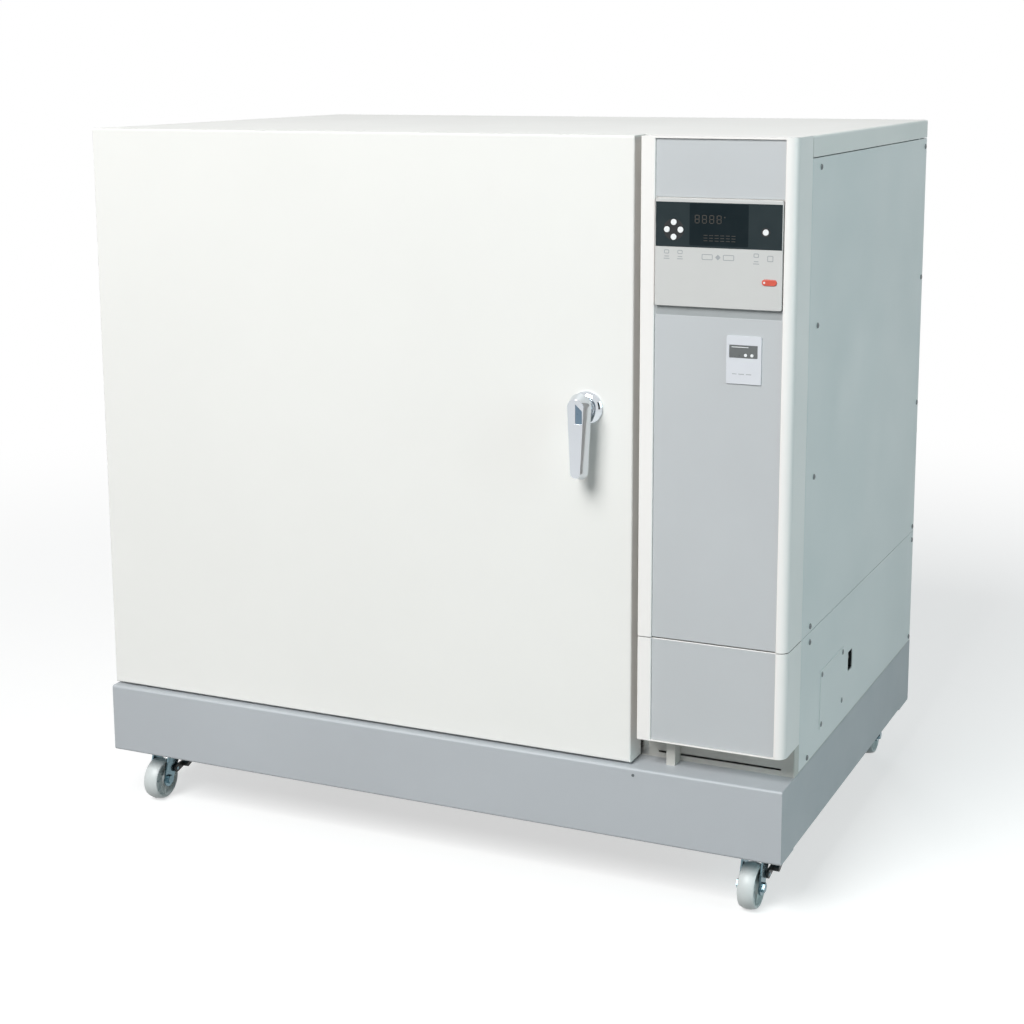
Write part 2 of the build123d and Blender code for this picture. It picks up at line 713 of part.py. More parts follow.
for damper_name, x in zip(("damper_left", "damper_right"), PORT_XS):
    with BuildPart(CABINET) as damper:
        with BuildSketch(elevation(DAMPER_Y)):
            with Locations((x, PORT_Z)):
                Circle(PORT_BORE - 0.6)
        extrude(amount=1, both=True)
        with BuildSketch(plan(PORT_Z - DAMPER_COLLAR - 3)):
            with Locations((x, DAMPER_Y)):
                Circle(DAMPER_PIN_RADIUS)
        extrude(amount=2 * DAMPER_COLLAR + 12)
        with BuildSketch(plan(PORT_Z + DAMPER_COLLAR + 5)):
            with Locations((x, DAMPER_Y)):
                Circle(8)
            with Locations((x + 11, DAMPER_Y)):
                SlotOverall(30, 8)
        extrude(amount=5)
    save(damper_name, damper.part)

# Column covers: one folded section, parted at the side seam
COLUMN_SECTION = [
    (COLUMN_LEFT, CHASSIS_FRONT),
    (COLUMN_LEFT, COLUMN_FRONT),
    (STRIP_LEFT, COLUMN_FRONT),
    (STRIP_LEFT, WEB_FRONT),
    (STRIP_RIGHT, WEB_FRONT),
    (STRIP_RIGHT, COLUMN_FRONT),
    (WIDTH, COLUMN_FRONT),
    (WIDTH, COLUMN_RETURN),
]
COLUMN_BENDS = [BEND, BEND, 0.6, 0.6, BEND, CORNER_RADIUS]
SWITCH_HOLE = 46


def cap(z, thickness):
    """Close the top or bottom of a column cover with a flat flange."""
    with BuildSketch(plan(z)) as flange:
        with BuildLine():
            FilletPolyline(
                (COLUMN_LEFT, CHASSIS_FRONT),
                (COLUMN_LEFT, COLUMN_FRONT),
                (WIDTH, COLUMN_FRONT),
                (WIDTH, CHASSIS_FRONT),
                radius=[BEND, CORNER_RADIUS],
            )
            Line((COLUMN_LEFT, CHASSIS_FRONT), (WIDTH, CHASSIS_FRONT))
        make_face()
    extrude(flange.sketch, amount=thickness)


with BuildPart(CABINET) as column_upper_cover:
    with BuildSketch(plan(SIDE_SEAM + SEAM_GAP / 2)):
        folded(COLUMN_SECTION, radius=COLUMN_BENDS)
    extrude(amount=HEIGHT - SIDE_SEAM - SEAM_GAP / 2)
    cap(HEIGHT - 3, 3)
    block((STRIP_LEFT, STRIP_RIGHT), (WEB_FRONT, 20), (CONTROL_BOTTOM, CONTROL_TOP), Mode.SUBTRACT)
    with BuildSketch(elevation(20)):
        with Locations(PROTECTOR):
            Rectangle(SWITCH_HOLE, SWITCH_HOLE)
    extrude(amount=10, mode=Mode.SUBTRACT)
save("column_upper_cover", column_upper_cover.part)

with BuildPart(CABINET) as column_lower_cover:
    with BuildSketch(plan(COVER_BOTTOM)):
        folded(COLUMN_SECTION, radius=COLUMN_BENDS)
    extrude(amount=SIDE_SEAM - SEAM_GAP / 2 - COVER_BOTTOM)
    cap(COVER_BOTTOM, SHEET)
save("column_lower_cover", column_lower_cover.part)

# Grey panels in the recess. The middle one steps back to a groove under the control unit.
GREY_PANELS = ((50, 214), (218, 721), (898, 983.5))
PANEL_LEFT = STRIP_LEFT + 0.6
PANEL_RIGHT = STRIP_RIGHT - 0.6
GROOVE_SHEET = 0.5
with BuildPart(CABINET) as grey_panels:
    with BuildSketch(elevation(WEB_FRONT)):
        for low, high in GREY_PANELS:
            rectangle((PANEL_LEFT, low), (PANEL_RIGHT, high))
        with Locations(PROTECTOR):
            Rectangle(SWITCH_HOLE, SWITCH_HOLE, mode=Mode.SUBTRACT)
    extrude(amount=WEB_FRONT - PANEL_FRONT)
    with BuildSketch(elevation(WEB_FRONT)):
        rectangle((PANEL_LEFT, GREY_PANELS[1][1]), (PANEL_RIGHT, CONTROL_BOTTOM))
    extrude(amount=GROOVE_SHEET)
save("grey_panels", grey_panels.part)

# Control unit: a moulded box with a dark strip, a board behind it and keys through both
CONTROL_LEFT = STRIP_LEFT + 1.4
CONTROL_RIGHT = STRIP_RIGHT - 1.4
CONTROL_WALL = 3.5
STRIP_DEPTH = 1.5
STRIP_ENDS = (CONTROL_LEFT + 0.8, CONTROL_RIGHT - 0.8)
STRIP_PLAY = 0.2
KEY_SEAT = CONTROL_FRONT + CONTROL_WALL
DISPLAY_WINDOW = ((1082, 831), (1165, 886))
with BuildPart(CABINET) as control_panel:
    with BuildSketch(elevation(CONTROL_BACK)):
        with Locations(((CONTROL_LEFT + CONTROL_RIGHT) / 2, (CONTROL_BOTTOM + CONTROL_TOP) / 2)):
            RectangleRounded(CONTROL_RIGHT - CONTROL_LEFT, CONTROL_TOP - CONTROL_BOTTOM, 3)
    extrude(amount=CONTROL_BACK - CONTROL_FRONT)
    fillet(control_panel.faces().sort_by(Axis.Y)[0].edges(), radius=0.6)
    block(
        (CONTROL_LEFT + 3, CONTROL_RIGHT - 3),
        (KEY_SEAT, CONTROL_BACK),
        (CONTROL_BOTTOM + 3, CONTROL_TOP - 3),
        Mode.SUBTRACT,
    )
    with BuildSketch(elevation(CONTROL_FRONT)):
        rectangle((STRIP_ENDS[0], STRIP_BOTTOM), (STRIP_ENDS[1], STRIP_TOP))
    extrude(amount=-STRIP_DEPTH, mode=Mode.SUBTRACT)
    with BuildSketch(elevation(CONTROL_FRONT)):
        rectangle(*DISPLAY_WINDOW)
        with Locations(*KEYS.values()):
            Circle(KEY_RADIUS + KEY_GAP)
        with Locations(POWER_KEY):
            SlotOverall(POWER_KEY_LENGTH + 2 * KEY_GAP, POWER_KEY_HEIGHT + 2 * KEY_GAP)
    extrude(amount=-CONTROL_WALL, mode=Mode.SUBTRACT)
save("control_panel", control_panel.part)

with BuildPart(CABINET) as display_strip:
    with BuildSketch(elevation(CONTROL_FRONT + STRIP_DEPTH)):
        rectangle(
            (STRIP_ENDS[0] + STRIP_PLAY, STRIP_BOTTOM + STRIP_PLAY),
            (STRIP_ENDS[1] - STRIP_PLAY, STRIP_TOP - STRIP_PLAY),
        )
        with Locations(*KEYS.values()):
            Circle(KEY_RADIUS + KEY_GAP, mode=Mode.SUBTRACT)
    extrude(amount=STRIP_DEPTH)
save("display_strip", display_strip.part)

DIGITS_AND_CHARACTERS = (((1084, 1163), (856, 878)), ((1094, 1156), (833, 845)))
TRANSFORMER = ((1060, 1110), (750, 790), 34)
RELAY = ((1140, 1200), (800, 860), 22)
TERMINALS = ((1035, 1050), (800, 870), 14)
with BuildPart(CABINET) as control_board:
    with BuildSketch(elevation(CONTROL_BACK)):
        rectangle((CONTROL_LEFT + 1, CONTROL_BOTTOM + 1), (CONTROL_RIGHT - 1, CONTROL_TOP - 1))
    extrude(amount=-2)
    for x, z in DIGITS_AND_CHARACTERS:
        block(x, (CONTROL_FRONT + STRIP_DEPTH + 0.5, CONTROL_BACK), z)
    for x, z, height in (TRANSFORMER, RELAY, TERMINALS):
        block(x, (CONTROL_BACK + 2, CONTROL_BACK + height), z)
save("control_board", control_board.part)

for key_name, place in KEYS.items():
    with BuildPart(CABINET) as key:
        with BuildSketch(elevation(KEY_SEAT)):
            with Locations(place):
                Circle(KEY_RADIUS)
        extrude(amount=CONTROL_WALL + 0.8)
        fillet(key.edges().sort_by(Axis.Y)[0], radius=0.6)
        with BuildSketch(elevation(KEY_SEAT)):
            with Locations(place):
                Circle(KEY_RADIUS + 1.5)
        extrude(amount=-1.5)
    save(key_name, key.part)

with BuildPart(CABINET) as power_key:
    with BuildSketch(elevation(KEY_SEAT)):
        with Locations(POWER_KEY):
            SlotOverall(POWER_KEY_LENGTH, POWER_KEY_HEIGHT)
    extrude(amount=CONTROL_WALL + 1.5)
    fillet(power_key.faces().sort_by(Axis.Y)[0].edges(), radius=0.8)
    with BuildSketch(elevation(KEY_SEAT)):
        with Locations(POWER_KEY):
            SlotOverall(POWER_KEY_LENGTH + 4, POWER_KEY_HEIGHT + 4)
    extrude(amount=-1.5)
save("power_key", power_key.part)

# Overheat protector: a plate on the middle panel, with its body through the sheet
PROTECTOR_FRONT = 8
PROTECTOR_PLATE = (53.8, 71.5)
PROTECTOR_BODY = 45
PROTECTOR_DISPLAY = ((1141.3, 662.9), (1185.3, 682.5))
PROTECTOR_KEY = 2.4
with BuildPart(CABINET) as overheat_protector:
    with BuildSketch(elevation(PANEL_FRONT)):
        with Locations(PROTECTOR):
            RectangleRounded(*PROTECTOR_PLATE, 1.5)
    extrude(amount=PANEL_FRONT - PROTECTOR_FRONT)
    with BuildSketch(elevation(PANEL_FRONT)):
        with Locations(PROTECTOR):
            Rectangle(PROTECTOR_BODY, PROTECTOR_BODY)
    extrude(amount=-PROTECTOR_BODY)
    with BuildSketch(elevation(PROTECTOR_FRONT)):
        rectangle(*PROTECTOR_DISPLAY)
    extrude(amount=-0.6, mode=Mode.SUBTRACT)
    with BuildSketch(elevation(PROTECTOR_FRONT)):
        with Locations(*PROTECTOR_KEYS.values()):
            Circle(PROTECTOR_KEY + 0.1)
    extrude(amount=-6, mode=Mode.SUBTRACT)
save("overheat_protector", overheat_protector.part)

for key_name, place in PROTECTOR_KEYS.items():
    with BuildPart(CABINET) as key:
        with BuildSketch(elevation(PROTECTOR_FRONT + 5)):
            with Locations(place):
                Circle(PROTECTOR_KEY)
        extrude(amount=5.4)
        fillet(key.edges().sort_by(Axis.Y)[0], radius=0.4)
    save(key_name, key.part)

# Below the column: the chassis rail, folded round the corner, and the block that bears the cover
DRAIN_SLIT_CENTRE = (1117.3, 10)
DRAIN_SLIT = (202.7, 3.5)
SUPPORT_LEFT = 1038.6
SUPPORT_WIDTH = 14.9
SUPPORT_FRONT = 38
with BuildPart(CABINET) as chassis_rail:
    with BuildSketch(plan(SHEET)):
        folded([(COLUMN_LEFT, CHASSIS_FRONT), (WIDTH, CHASSIS_FRONT), (WIDTH, COLUMN_RETURN)])
    extrude(amount=COVER_BOTTOM - SHEET)
    with BuildSketch(elevation(CHASSIS_FRONT)):
        with Locations(DRAIN_SLIT_CENTRE):
            SlotOverall(*DRAIN_SLIT)
    extrude(amount=-2 * SHEET, mode=Mode.SUBTRACT)

with BuildPart(CABINET) as cover_support:
    with BuildSketch(plan(0)):
        rectangle((SUPPORT_LEFT, SUPPORT_FRONT), (SUPPORT_LEFT + SUPPORT_WIDTH, CHASSIS_FRONT))
    extrude(amount=COVER_BOTTOM)
    fillet(cover_support.edges().filter_by(Axis.Z), radius=1)
save("bottom_rail", chassis_rail.part, cover_support.part)

# Service cover and mains breaker on the lower right side
SERVICE_COVER_CENTRE = (273.5, 82)
SERVICE_COVER = (143, 100)
SERVICE_COVER_SHEET = 1
with BuildPart(CABINET) as service_cover:
    with BuildSketch(section(WIDTH)):
        with Locations(SERVICE_COVER_CENTRE):
            RectangleRounded(*SERVICE_COVER, 2)
    extrude(amount=SERVICE_COVER_SHEET)
save("service_cover", service_cover.part)

BREAKER_PIVOT = 1224
BREAKER_DRUM = 9
with BuildPart(CABINET) as main_breaker:
    block((1180, WIDTH - SHEET), (BREAKER_Y - 32, BREAKER_Y + 32), (BREAKER_Z - 45, BREAKER_Z + 45))
    block(
        (BREAKER_PIVOT, WIDTH - SHEET),
        (BREAKER_Y - 14, BREAKER_Y + 14),
        (BREAKER_Z - 17, BREAKER_Z + 17),
        Mode.SUBTRACT,
    )
    with BuildSketch(elevation(BREAKER_Y - 9)):
        with Locations((BREAKER_PIVOT, BREAKER_Z)):
            Circle(BREAKER_DRUM + 0.3)
    extrude(amount=-18, mode=Mode.SUBTRACT)
save("main_breaker", main_breaker.part)

with BuildPart(CABINET) as breaker_lever:
    with BuildSketch(elevation(BREAKER_Y - 8.6)):
        with Locations((BREAKER_PIVOT, BREAKER_Z)):
            Circle(BREAKER_DRUM)
    extrude(amount=-17.2)
    with BuildSketch(elevation(BREAKER_Y - 6)):
        with BuildLine():
            Polyline(
                (BREAKER_PIVOT, BREAKER_Z - 5),
                (BREAKER_PIVOT + 13, BREAKER_Z + 2),
                (BREAKER_PIVOT + 11, BREAKER_Z + 8),
                (BREAKER_PIVOT, BREAKER_Z + 7),
                close=True,
            )
        make_face()
    extrude(amount=-12)
save("breaker_lever", breaker_lever.part)

# Cable gland low on the back, for the mains lead
GLAND_THREAD = 14
GLAND_HEX = 8
GLAND_CAP = 14
GLAND_BORE = 6.5
with BuildPart(CABINET) as cable_gland:
    with BuildSketch(elevation(DEPTH - GLAND_THREAD)):
        with Locations(GLAND):
            Circle(GLAND_RADIUS)
    extrude(amount=-GLAND_THREAD)
    with BuildSketch(elevation(DEPTH)):
        with Locations(GLAND):
            RegularPolygon(18, 6)
    extrude(amount=-GLAND_HEX)
    with BuildSketch(elevation(DEPTH + GLAND_HEX)):
        with Locations(GLAND):
            Circle(15)
    extrude(amount=-GLAND_CAP)
    fillet(cable_gland.edges().filter_by(GeomType.CIRCLE).sort_by(Axis.Y)[-1], radius=6)
    with BuildSketch(elevation(DEPTH - GLAND_THREAD)):
        with Locations(GLAND):
            Circle(GLAND_BORE)
    extrude(amount=-(GLAND_THREAD + GLAND_HEX + GLAND_CAP), mode=Mode.SUBTRACT)
save("cable_gland", cable_gland.part)

# Pan-head screws that hold the casing, the service cover and the plinth
HEAD_RADIUS = 4.5
SIDE_SCREWS = [(y, z) for y in (133, 832) for z in (9.5, 200, 226, 465, 700, 939)]
COVER_SCREWS = [(y, z) for y in (210, 337) for z in (40, 124)]
REAR_SCREWS = [(x, z) for x in (40, 500, 960, 1200) for z in (30, 930)] + [(40, 480), (1200, 480)]
PLINTH_SCREW = (997, -11)
PLINTH_HEAD_RADIUS = 2.5


def screw_heads(plane, places, height, radius=HEAD_RADIUS):
    """Add slightly tapered pan heads that stand on a face."""
    with BuildSketch(plane) as heads:
        with Locations(*places):
            Circle(radius)
    extrude(heads.sketch, amount=height, taper=14)


with BuildPart(CABINET) as casing_screws:
    screw_heads(section(WIDTH), SIDE_SCREWS, SCREW_HEAD)
    screw_heads(
        section(WIDTH + SERVICE_COVER_SHEET), COVER_SCREWS, SCREW_HEAD - SERVICE_COVER_SHEET
    )
    screw_heads(
        Plane(origin=(LEFT, FRONT, DECK), x_dir=(0, -1, 0), z_dir=(-1, 0, 0)),
        [(-y, z) for y, z in SIDE_SCREWS],
        SCREW_HEAD,
    )
    screw_heads(
        Plane(origin=(LEFT, FRONT + DEPTH, DECK), x_dir=(-1, 0, 0), z_dir=(0, 1, 0)),
        [(-x, z) for x, z in REAR_SCREWS],
        SCREW_HEAD,
    )
    screw_heads(elevation(0), [PLINTH_SCREW], SCREW_HEAD / 2, PLINTH_HEAD_RADIUS)
save("casing_screws", casing_screws.part)

# Door: an outer tray, a flat back panel with the mouth plug, wool inside and a gasket
DOOR_TOP = HEIGHT
with BuildPart(CABINET) as door_skin:
    with BuildSketch(elevation(DOOR_BACK)):
        rectangle((0, DOOR_BOTTOM), (DOOR_WIDTH, DOOR_TOP))
    extrude(amount=DOOR_BACK - DOOR_FRONT)
    fillet(door_skin.faces().sort_by(Axis.Y)[0].edges(), radius=3)
    block(
        (SHEET, DOOR_WIDTH - SHEET),
        (DOOR_FRONT + SHEET, DOOR_BACK),
        (DOOR_BOTTOM + SHEET, DOOR_TOP - SHEET),
        Mode.SUBTRACT,
    )
    with BuildSketch(elevation(DOOR_BACK)):
        with Locations((HANDLE_X, HANDLE_Z)):
            Circle(SPINDLE_RADIUS + 1)
    extrude(amount=60, mode=Mode.SUBTRACT)
save("door_skin", door_skin.part)

PANEL_LOW = (SHEET, DOOR_BOTTOM + SHEET)
PANEL_HIGH = (DOOR_WIDTH - SHEET, DOOR_TOP - SHEET)
PLUG_LOW = (MOUTH_LEFT + PLUG_GAP, MOUTH_BOTTOM + PLUG_GAP)
PLUG_HIGH = (MOUTH_RIGHT - PLUG_GAP, MOUTH_TOP - PLUG_GAP)
with BuildPart(CABINET) as door_inner_panel:
    with BuildSketch(elevation(DOOR_BACK - SHEET)):
        rectangle(PANEL_LOW, PANEL_HIGH)
        with Locations((HANDLE_X, HANDLE_Z)):
            Circle(SPINDLE_RADIUS + 1, mode=Mode.SUBTRACT)
    extrude(amount=-SHEET)

with BuildPart(CABINET) as door_plug:
    with BuildSketch(elevation(DOOR_BACK)):
        rectangle(PLUG_LOW, PLUG_HIGH)
    extrude(amount=-(PLUG_BACK - DOOR_BACK))
    chamfer(door_plug.faces().sort_by(Axis.Y)[-1].edges(), length=8)
    offset(amount=-SHEET, openings=door_plug.faces().sort_by(Axis.Y)[0])
save("door_inner_panel", door_inner_panel.part, door_plug.part)

with BuildPart(CABINET) as wool_slab:
    block(
        (SHEET, DOOR_WIDTH - SHEET),
        (DOOR_FRONT + SHEET, DOOR_BACK - SHEET),
        (DOOR_BOTTOM + SHEET, DOOR_TOP - SHEET),
    )
    with BuildSketch(elevation(DOOR_BACK)):
        with Locations((HANDLE_X, HANDLE_Z)):
            Circle(SPINDLE_RADIUS + 3)
    extrude(amount=60, mode=Mode.SUBTRACT)

with BuildPart(CABINET) as wool_plug:
    block(
        (PLUG_LOW[0] + SHEET, PLUG_HIGH[0] - SHEET),
        (DOOR_BACK, PLUG_BACK - 10),
        (PLUG_LOW[1] + SHEET, PLUG_HIGH[1] - SHEET),
    )
save("door_insulation", wool_slab.part, wool_plug.part)

with BuildPart(CABINET) as door_gasket:
    middle = ((MOUTH_LEFT + MOUTH_RIGHT) / 2, (MOUTH_BOTTOM + MOUTH_TOP) / 2)
    outer = MOUTH + 2 * GASKET_OUT
    with BuildSketch(elevation(DOOR_BACK)):
        with Locations(middle):
            RectangleRounded(outer, outer, 30)
            RectangleRounded(
                outer - 2 * GASKET_WIDTH, outer - 2 * GASKET_WIDTH, 8, mode=Mode.SUBTRACT
            )
    extrude(amount=-(CHASSIS_FRONT - DOOR_BACK))
    fillet(door_gasket.faces().sort_by(Axis.Y)[-1].edges(), radius=4)
save("door_gasket", door_gasket.part)

# Hinges: lift-off pairs, with the pin in the cabinet's lower knuckle
LEAF = 3
LEAF_SCREW_RADIUS = 3
LEAF_SCREW_PITCH = 30
DOOR_LEAF_Y = (18, DOOR_BACK - 2)
CABINET_LEAF_Y = (72, 118)
KNUCKLE_GAP = 0.5


def knuckle(z0, z1):
    """Add a hinge barrel between two heights."""
    with BuildSketch(plan(z0)) as barrel:
        with Locations((HINGE_X, HINGE_Y)):
            Circle(KNUCKLE_RADIUS)
    extrude(barrel.sketch, amount=z1 - z0)


with BuildPart(CABINET) as hinge_leaves_cabinet:
    for z in HINGE_HEIGHTS:
        knuckle(z - HINGE_LEAF / 2, z - KNUCKLE_GAP)
        block((-LEAF, 0), (HINGE_Y, CABINET_LEAF_Y[0]), (z - HINGE_LEAF / 2, z - KNUCKLE_GAP))
        with BuildSketch(section(-LEAF)):
            rectangle(
                (CABINET_LEAF_Y[0], z - HINGE_LEAF / 2), (CABINET_LEAF_Y[1], z + HINGE_LEAF / 2)
            )
            with Locations((sum(CABINET_LEAF_Y) / 2, z)):
                with GridLocations(0, LEAF_SCREW_PITCH, 1, 3):
                    Circle(LEAF_SCREW_RADIUS, mode=Mode.SUBTRACT)
        extrude(amount=LEAF)
        with BuildSketch(plan(z - KNUCKLE_GAP)):
            with Locations((HINGE_X, HINGE_Y)):
                Circle(HINGE_PIN_RADIUS)
        extrude(amount=HINGE_LEAF / 2 - 6)
save("hinge_leaves_cabinet", hinge_leaves_cabinet.part)

with BuildPart(CABINET) as hinge_leaves_door:
    for z in HINGE_HEIGHTS:
        knuckle(z, z + HINGE_LEAF / 2)
        block((-LEAF, 0), (DOOR_LEAF_Y[1], HINGE_Y), (z, z + HINGE_LEAF / 2))
        with BuildSketch(section(-LEAF)):
            rectangle((DOOR_LEAF_Y[0], z - HINGE_LEAF / 2), (DOOR_LEAF_Y[1], z + HINGE_LEAF / 2))
            with Locations((sum(DOOR_LEAF_Y) / 2, z)):
                with GridLocations(0, LEAF_SCREW_PITCH, 1, 3):
                    Circle(LEAF_SCREW_RADIUS, mode=Mode.SUBTRACT)
        extrude(amount=LEAF)
        with BuildSketch(plan(z)):
            with Locations((HINGE_X, HINGE_Y)):
                Circle(HINGE_PIN_RADIUS + RUNNING_FIT)
        extrude(amount=HINGE_LEAF / 2 - 4, mode=Mode.SUBTRACT)
save("hinge_leaves_door", hinge_leaves_door.part)

# Handle: a turned rosette, and a cast lever with leaning sides, a low ridge and a pocket
ROSETTE_RADIUS = 26
ROSETTE_FRONT = 0
HANDLE_PLANE = Plane(
    origin=(LEFT + HANDLE_X, FRONT, DECK + HANDLE_Z), x_dir=(1, 0, 0), z_dir=(0, 0, 1)
)
HANDLE_AXIS = Axis((LEFT + HANDLE_X, FRONT, DECK + HANDLE_Z), (0, 1, 0))
with BuildPart(CABINET) as handle_rosette:
    with BuildSketch(HANDLE_PLANE):
        with BuildLine():
            Polyline(
                (SPINDLE_RADIUS + RUNNING_FIT, DOOR_FRONT),
                (ROSETTE_RADIUS, DOOR_FRONT),
                (ROSETTE_RADIUS, DOOR_FRONT - 3),
            )
            RadiusArc((ROSETTE_RADIUS, DOOR_FRONT - 3), (15, 3), 14)
            Polyline(
                (15, 3),
                (15, ROSETTE_FRONT),
                (SPINDLE_RADIUS + RUNNING_FIT, ROSETTE_FRONT),
                (SPINDLE_RADIUS + RUNNING_FIT, DOOR_FRONT),
            )
        make_face()
    revolve(axis=HANDLE_AXIS)
save("handle_rosette", handle_rosette.part)

LEVER_BACK = -18
LEVER_EDGE = -36
LEVER_TAPER = 17
HEAD_RADIUS_AT_DOOR = 19
HEAD_RISE = 8
TIP_RADIUS_AT_DOOR = 14
LEVER_DROP = 94
LEVER_TOP = HANDLE_Z + HEAD_RISE + HEAD_RADIUS_AT_DOOR
COLLAR_RADIUS = 12
COLLAR_FRONT = -0.5
HEAD_POCKET = ((0.5, -17), (11, -17), (11, 3), (6, 16), (0.5, 16))
POCKET_FLOOR = -36.2
with BuildPart(CABINET) as lever:
    with BuildSketch(elevation(LEVER_BACK)):
        with Locations((HANDLE_X, HANDLE_Z + HEAD_RISE)):
            Circle(HEAD_RADIUS_AT_DOOR)
        with Locations((HANDLE_X, HANDLE_Z - LEVER_DROP)):
            Circle(TIP_RADIUS_AT_DOOR)
        make_hull()
    extrude(amount=LEVER_REACH + LEVER_BACK, taper=LEVER_TAPER)
    with BuildSketch(plan(HANDLE_Z - LEVER_DROP - TIP_RADIUS_AT_DOOR)):
        with BuildLine():
            Polyline(
                (HANDLE_X - HEAD_RADIUS_AT_DOOR, LEVER_BACK),
                (HANDLE_X - HEAD_RADIUS_AT_DOOR, LEVER_EDGE),
                (HANDLE_X, -LEVER_REACH),
                (HANDLE_X + HEAD_RADIUS_AT_DOOR, LEVER_EDGE),
                (HANDLE_X + HEAD_RADIUS_AT_DOOR, LEVER_BACK),
                close=True,
            )
        make_face()
    extrude(amount=LEVER_TOP - HANDLE_Z + LEVER_DROP + TIP_RADIUS_AT_DOOR, mode=Mode.INTERSECT)
    with BuildSketch(elevation(-LEVER_REACH)):
        with BuildLine():
            Polyline(*[(HANDLE_X + x, HANDLE_Z + z) for x, z in HEAD_POCKET], close=True)
        make_face()
    extrude(amount=-(LEVER_REACH + POCKET_FLOOR), mode=Mode.SUBTRACT)
    with BuildSketch(elevation(LEVER_BACK)):
        with Locations((HANDLE_X, HANDLE_Z)):
            Circle(COLLAR_RADIUS)
    extrude(amount=LEVER_BACK - COLLAR_FRONT)

with BuildPart(CABINET) as spindle:
    with BuildSketch(elevation(COLLAR_FRONT)):
        with Locations((HANDLE_X, HANDLE_Z)):
            Circle(SPINDLE_RADIUS)
    extrude(amount=-(CAM_BACK - COLLAR_FRONT))
    with BuildSketch(elevation(CAM_FRONT)):
        with Locations((HANDLE_X, HANDLE_Z)):
            Circle(11)
        with Locations((HANDLE_X, HANDLE_Z + 30)):
            Circle(8)
        make_hull()
    extrude(amount=-(CAM_BACK - CAM_FRONT))
save("door_lever", lever.part, spindle.part)


# Casters: a swivelling fork, a wheel on its bolt, and at the front a brake pedal
CHEEK = 15
CHEEK_SHEET = 3
PEDAL_PIVOT = (-8, 52)
for place_name, (x, y, facing) in CASTER_PLACES.items():
    swivel = Plane(origin=(LEFT + x, FRONT + y, 0), x_dir=(facing, 0, 0), z_dir=(0, 0, 1))
    side = Plane(origin=swivel.origin, x_dir=swivel.y_dir, z_dir=swivel.x_dir)
    with BuildPart(swivel) as fork:
        with BuildSketch(swivel.offset(FORK_TOP - 9.7)):
            Circle(25)
        extrude(amount=9.7)
        fillet(fork.edges().sort_by(Axis.Z)[0], radius=4)
        for start in (-CHEEK - CHEEK_SHEET, CHEEK):
            with BuildSketch(side.offset(start)):
                with Locations((-WHEEL_TRAIL, WHEEL_RADIUS)):
                    Circle(13)
                with Locations((-2, FORK_TOP - 7)):
                    Rectangle(38, 6)
                make_hull()
            extrude(amount=CHEEK_SHEET)
        with BuildSketch(side.offset(-CHEEK - CHEEK_SHEET)):
            with Locations((-WHEEL_TRAIL, WHEEL_RADIUS)):
                Circle(AXLE_RADIUS)
        extrude(amount=2 * (CHEEK + CHEEK_SHEET), mode=Mode.SUBTRACT)
        with BuildSketch(swivel.offset(FORK_TOP - 10)):
            Circle(KINGPIN_RADIUS + RUNNING_FIT)
        extrude(amount=12, mode=Mode.SUBTRACT)
        if facing == 1:
            with BuildSketch(side.offset(CHEEK + CHEEK_SHEET)):
                with Locations(PEDAL_PIVOT):
                    Circle(3)
            extrude(amount=6)

    with BuildPart(swivel) as axle_bolt:
        with BuildSketch(side.offset(-CHEEK - CHEEK_SHEET)):
            with Locations((-WHEEL_TRAIL, WHEEL_RADIUS)):
                Circle(AXLE_RADIUS)
        extrude(amount=2 * (CHEEK + CHEEK_SHEET))
        for start in (-CHEEK - CHEEK_SHEET - 5, CHEEK + CHEEK_SHEET):
            with BuildSketch(side.offset(start)):
                with Locations((-WHEEL_TRAIL, WHEEL_RADIUS)):
                    RegularPolygon(8, 6)
            extrude(amount=5)
    save(f"fork_{place_name}", fork.part, axle_bolt.part)

    across = Plane(origin=swivel.origin, x_dir=swivel.x_dir, z_dir=-swivel.y_dir)
    axle_plane = across.offset(WHEEL_TRAIL)
    with BuildPart(swivel) as wheel:
        with BuildSketch(axle_plane):
            half = WHEEL_WIDTH / 2
            bore = WHEEL_RADIUS + AXLE_RADIUS + RUNNING_FIT
            rim = 2 * WHEEL_RADIUS
            with BuildLine():
                Polyline(
                    (-half - 1, bore),
                    (-half - 1, bore + 6),
                    (-7, bore + 8),
                    (-7, rim - 9),
                    (-half, rim - 7),
                    (-half, rim - 4),
                )
                ThreePointArc((-half, rim - 4), (0, rim), (half, rim - 4))
                Polyline(
                    (half, rim - 4),
                    (half, rim - 7),
                    (7, rim - 9),
                    (7, bore + 8),
                    (half + 1, bore + 6),
                    (half + 1, bore),
                    (-half - 1, bore),
                )
            make_face()
        revolve(axis=Axis(axle_plane.origin + Vector(0, 0, WHEEL_RADIUS), swivel.x_dir))
    save(f"wheel_{place_name}", wheel.part)

    if facing == 1:
        with BuildPart(swivel) as pedal:
            with BuildSketch(side.offset(CHEEK + CHEEK_SHEET + 1)):
                with Locations(PEDAL_PIVOT):
                    Circle(7)
                with Locations((12, 55)):
                    Circle(5)
                make_hull()
                with Locations(PEDAL_PIVOT):
                    Circle(3 + RUNNING_FIT, mode=Mode.SUBTRACT)
            extrude(amount=4)
            with BuildSketch(side.offset(CHEEK + CHEEK_SHEET + 1)):
                with Locations((12, 55)):
                    Circle(5)
                with Locations((32, 61)):
                    Circle(3)
                make_hull()
            extrude(amount=15)
        save(f"brake_pedal_{place_name}", pedal.part)
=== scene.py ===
"""Looks of a floor-standing laboratory oven: its finishes, fine pieces and studio.

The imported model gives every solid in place. This script gives each solid the finish of the real
one, models the pieces that need softer or finer forms, and sets the light and the camera.
"""

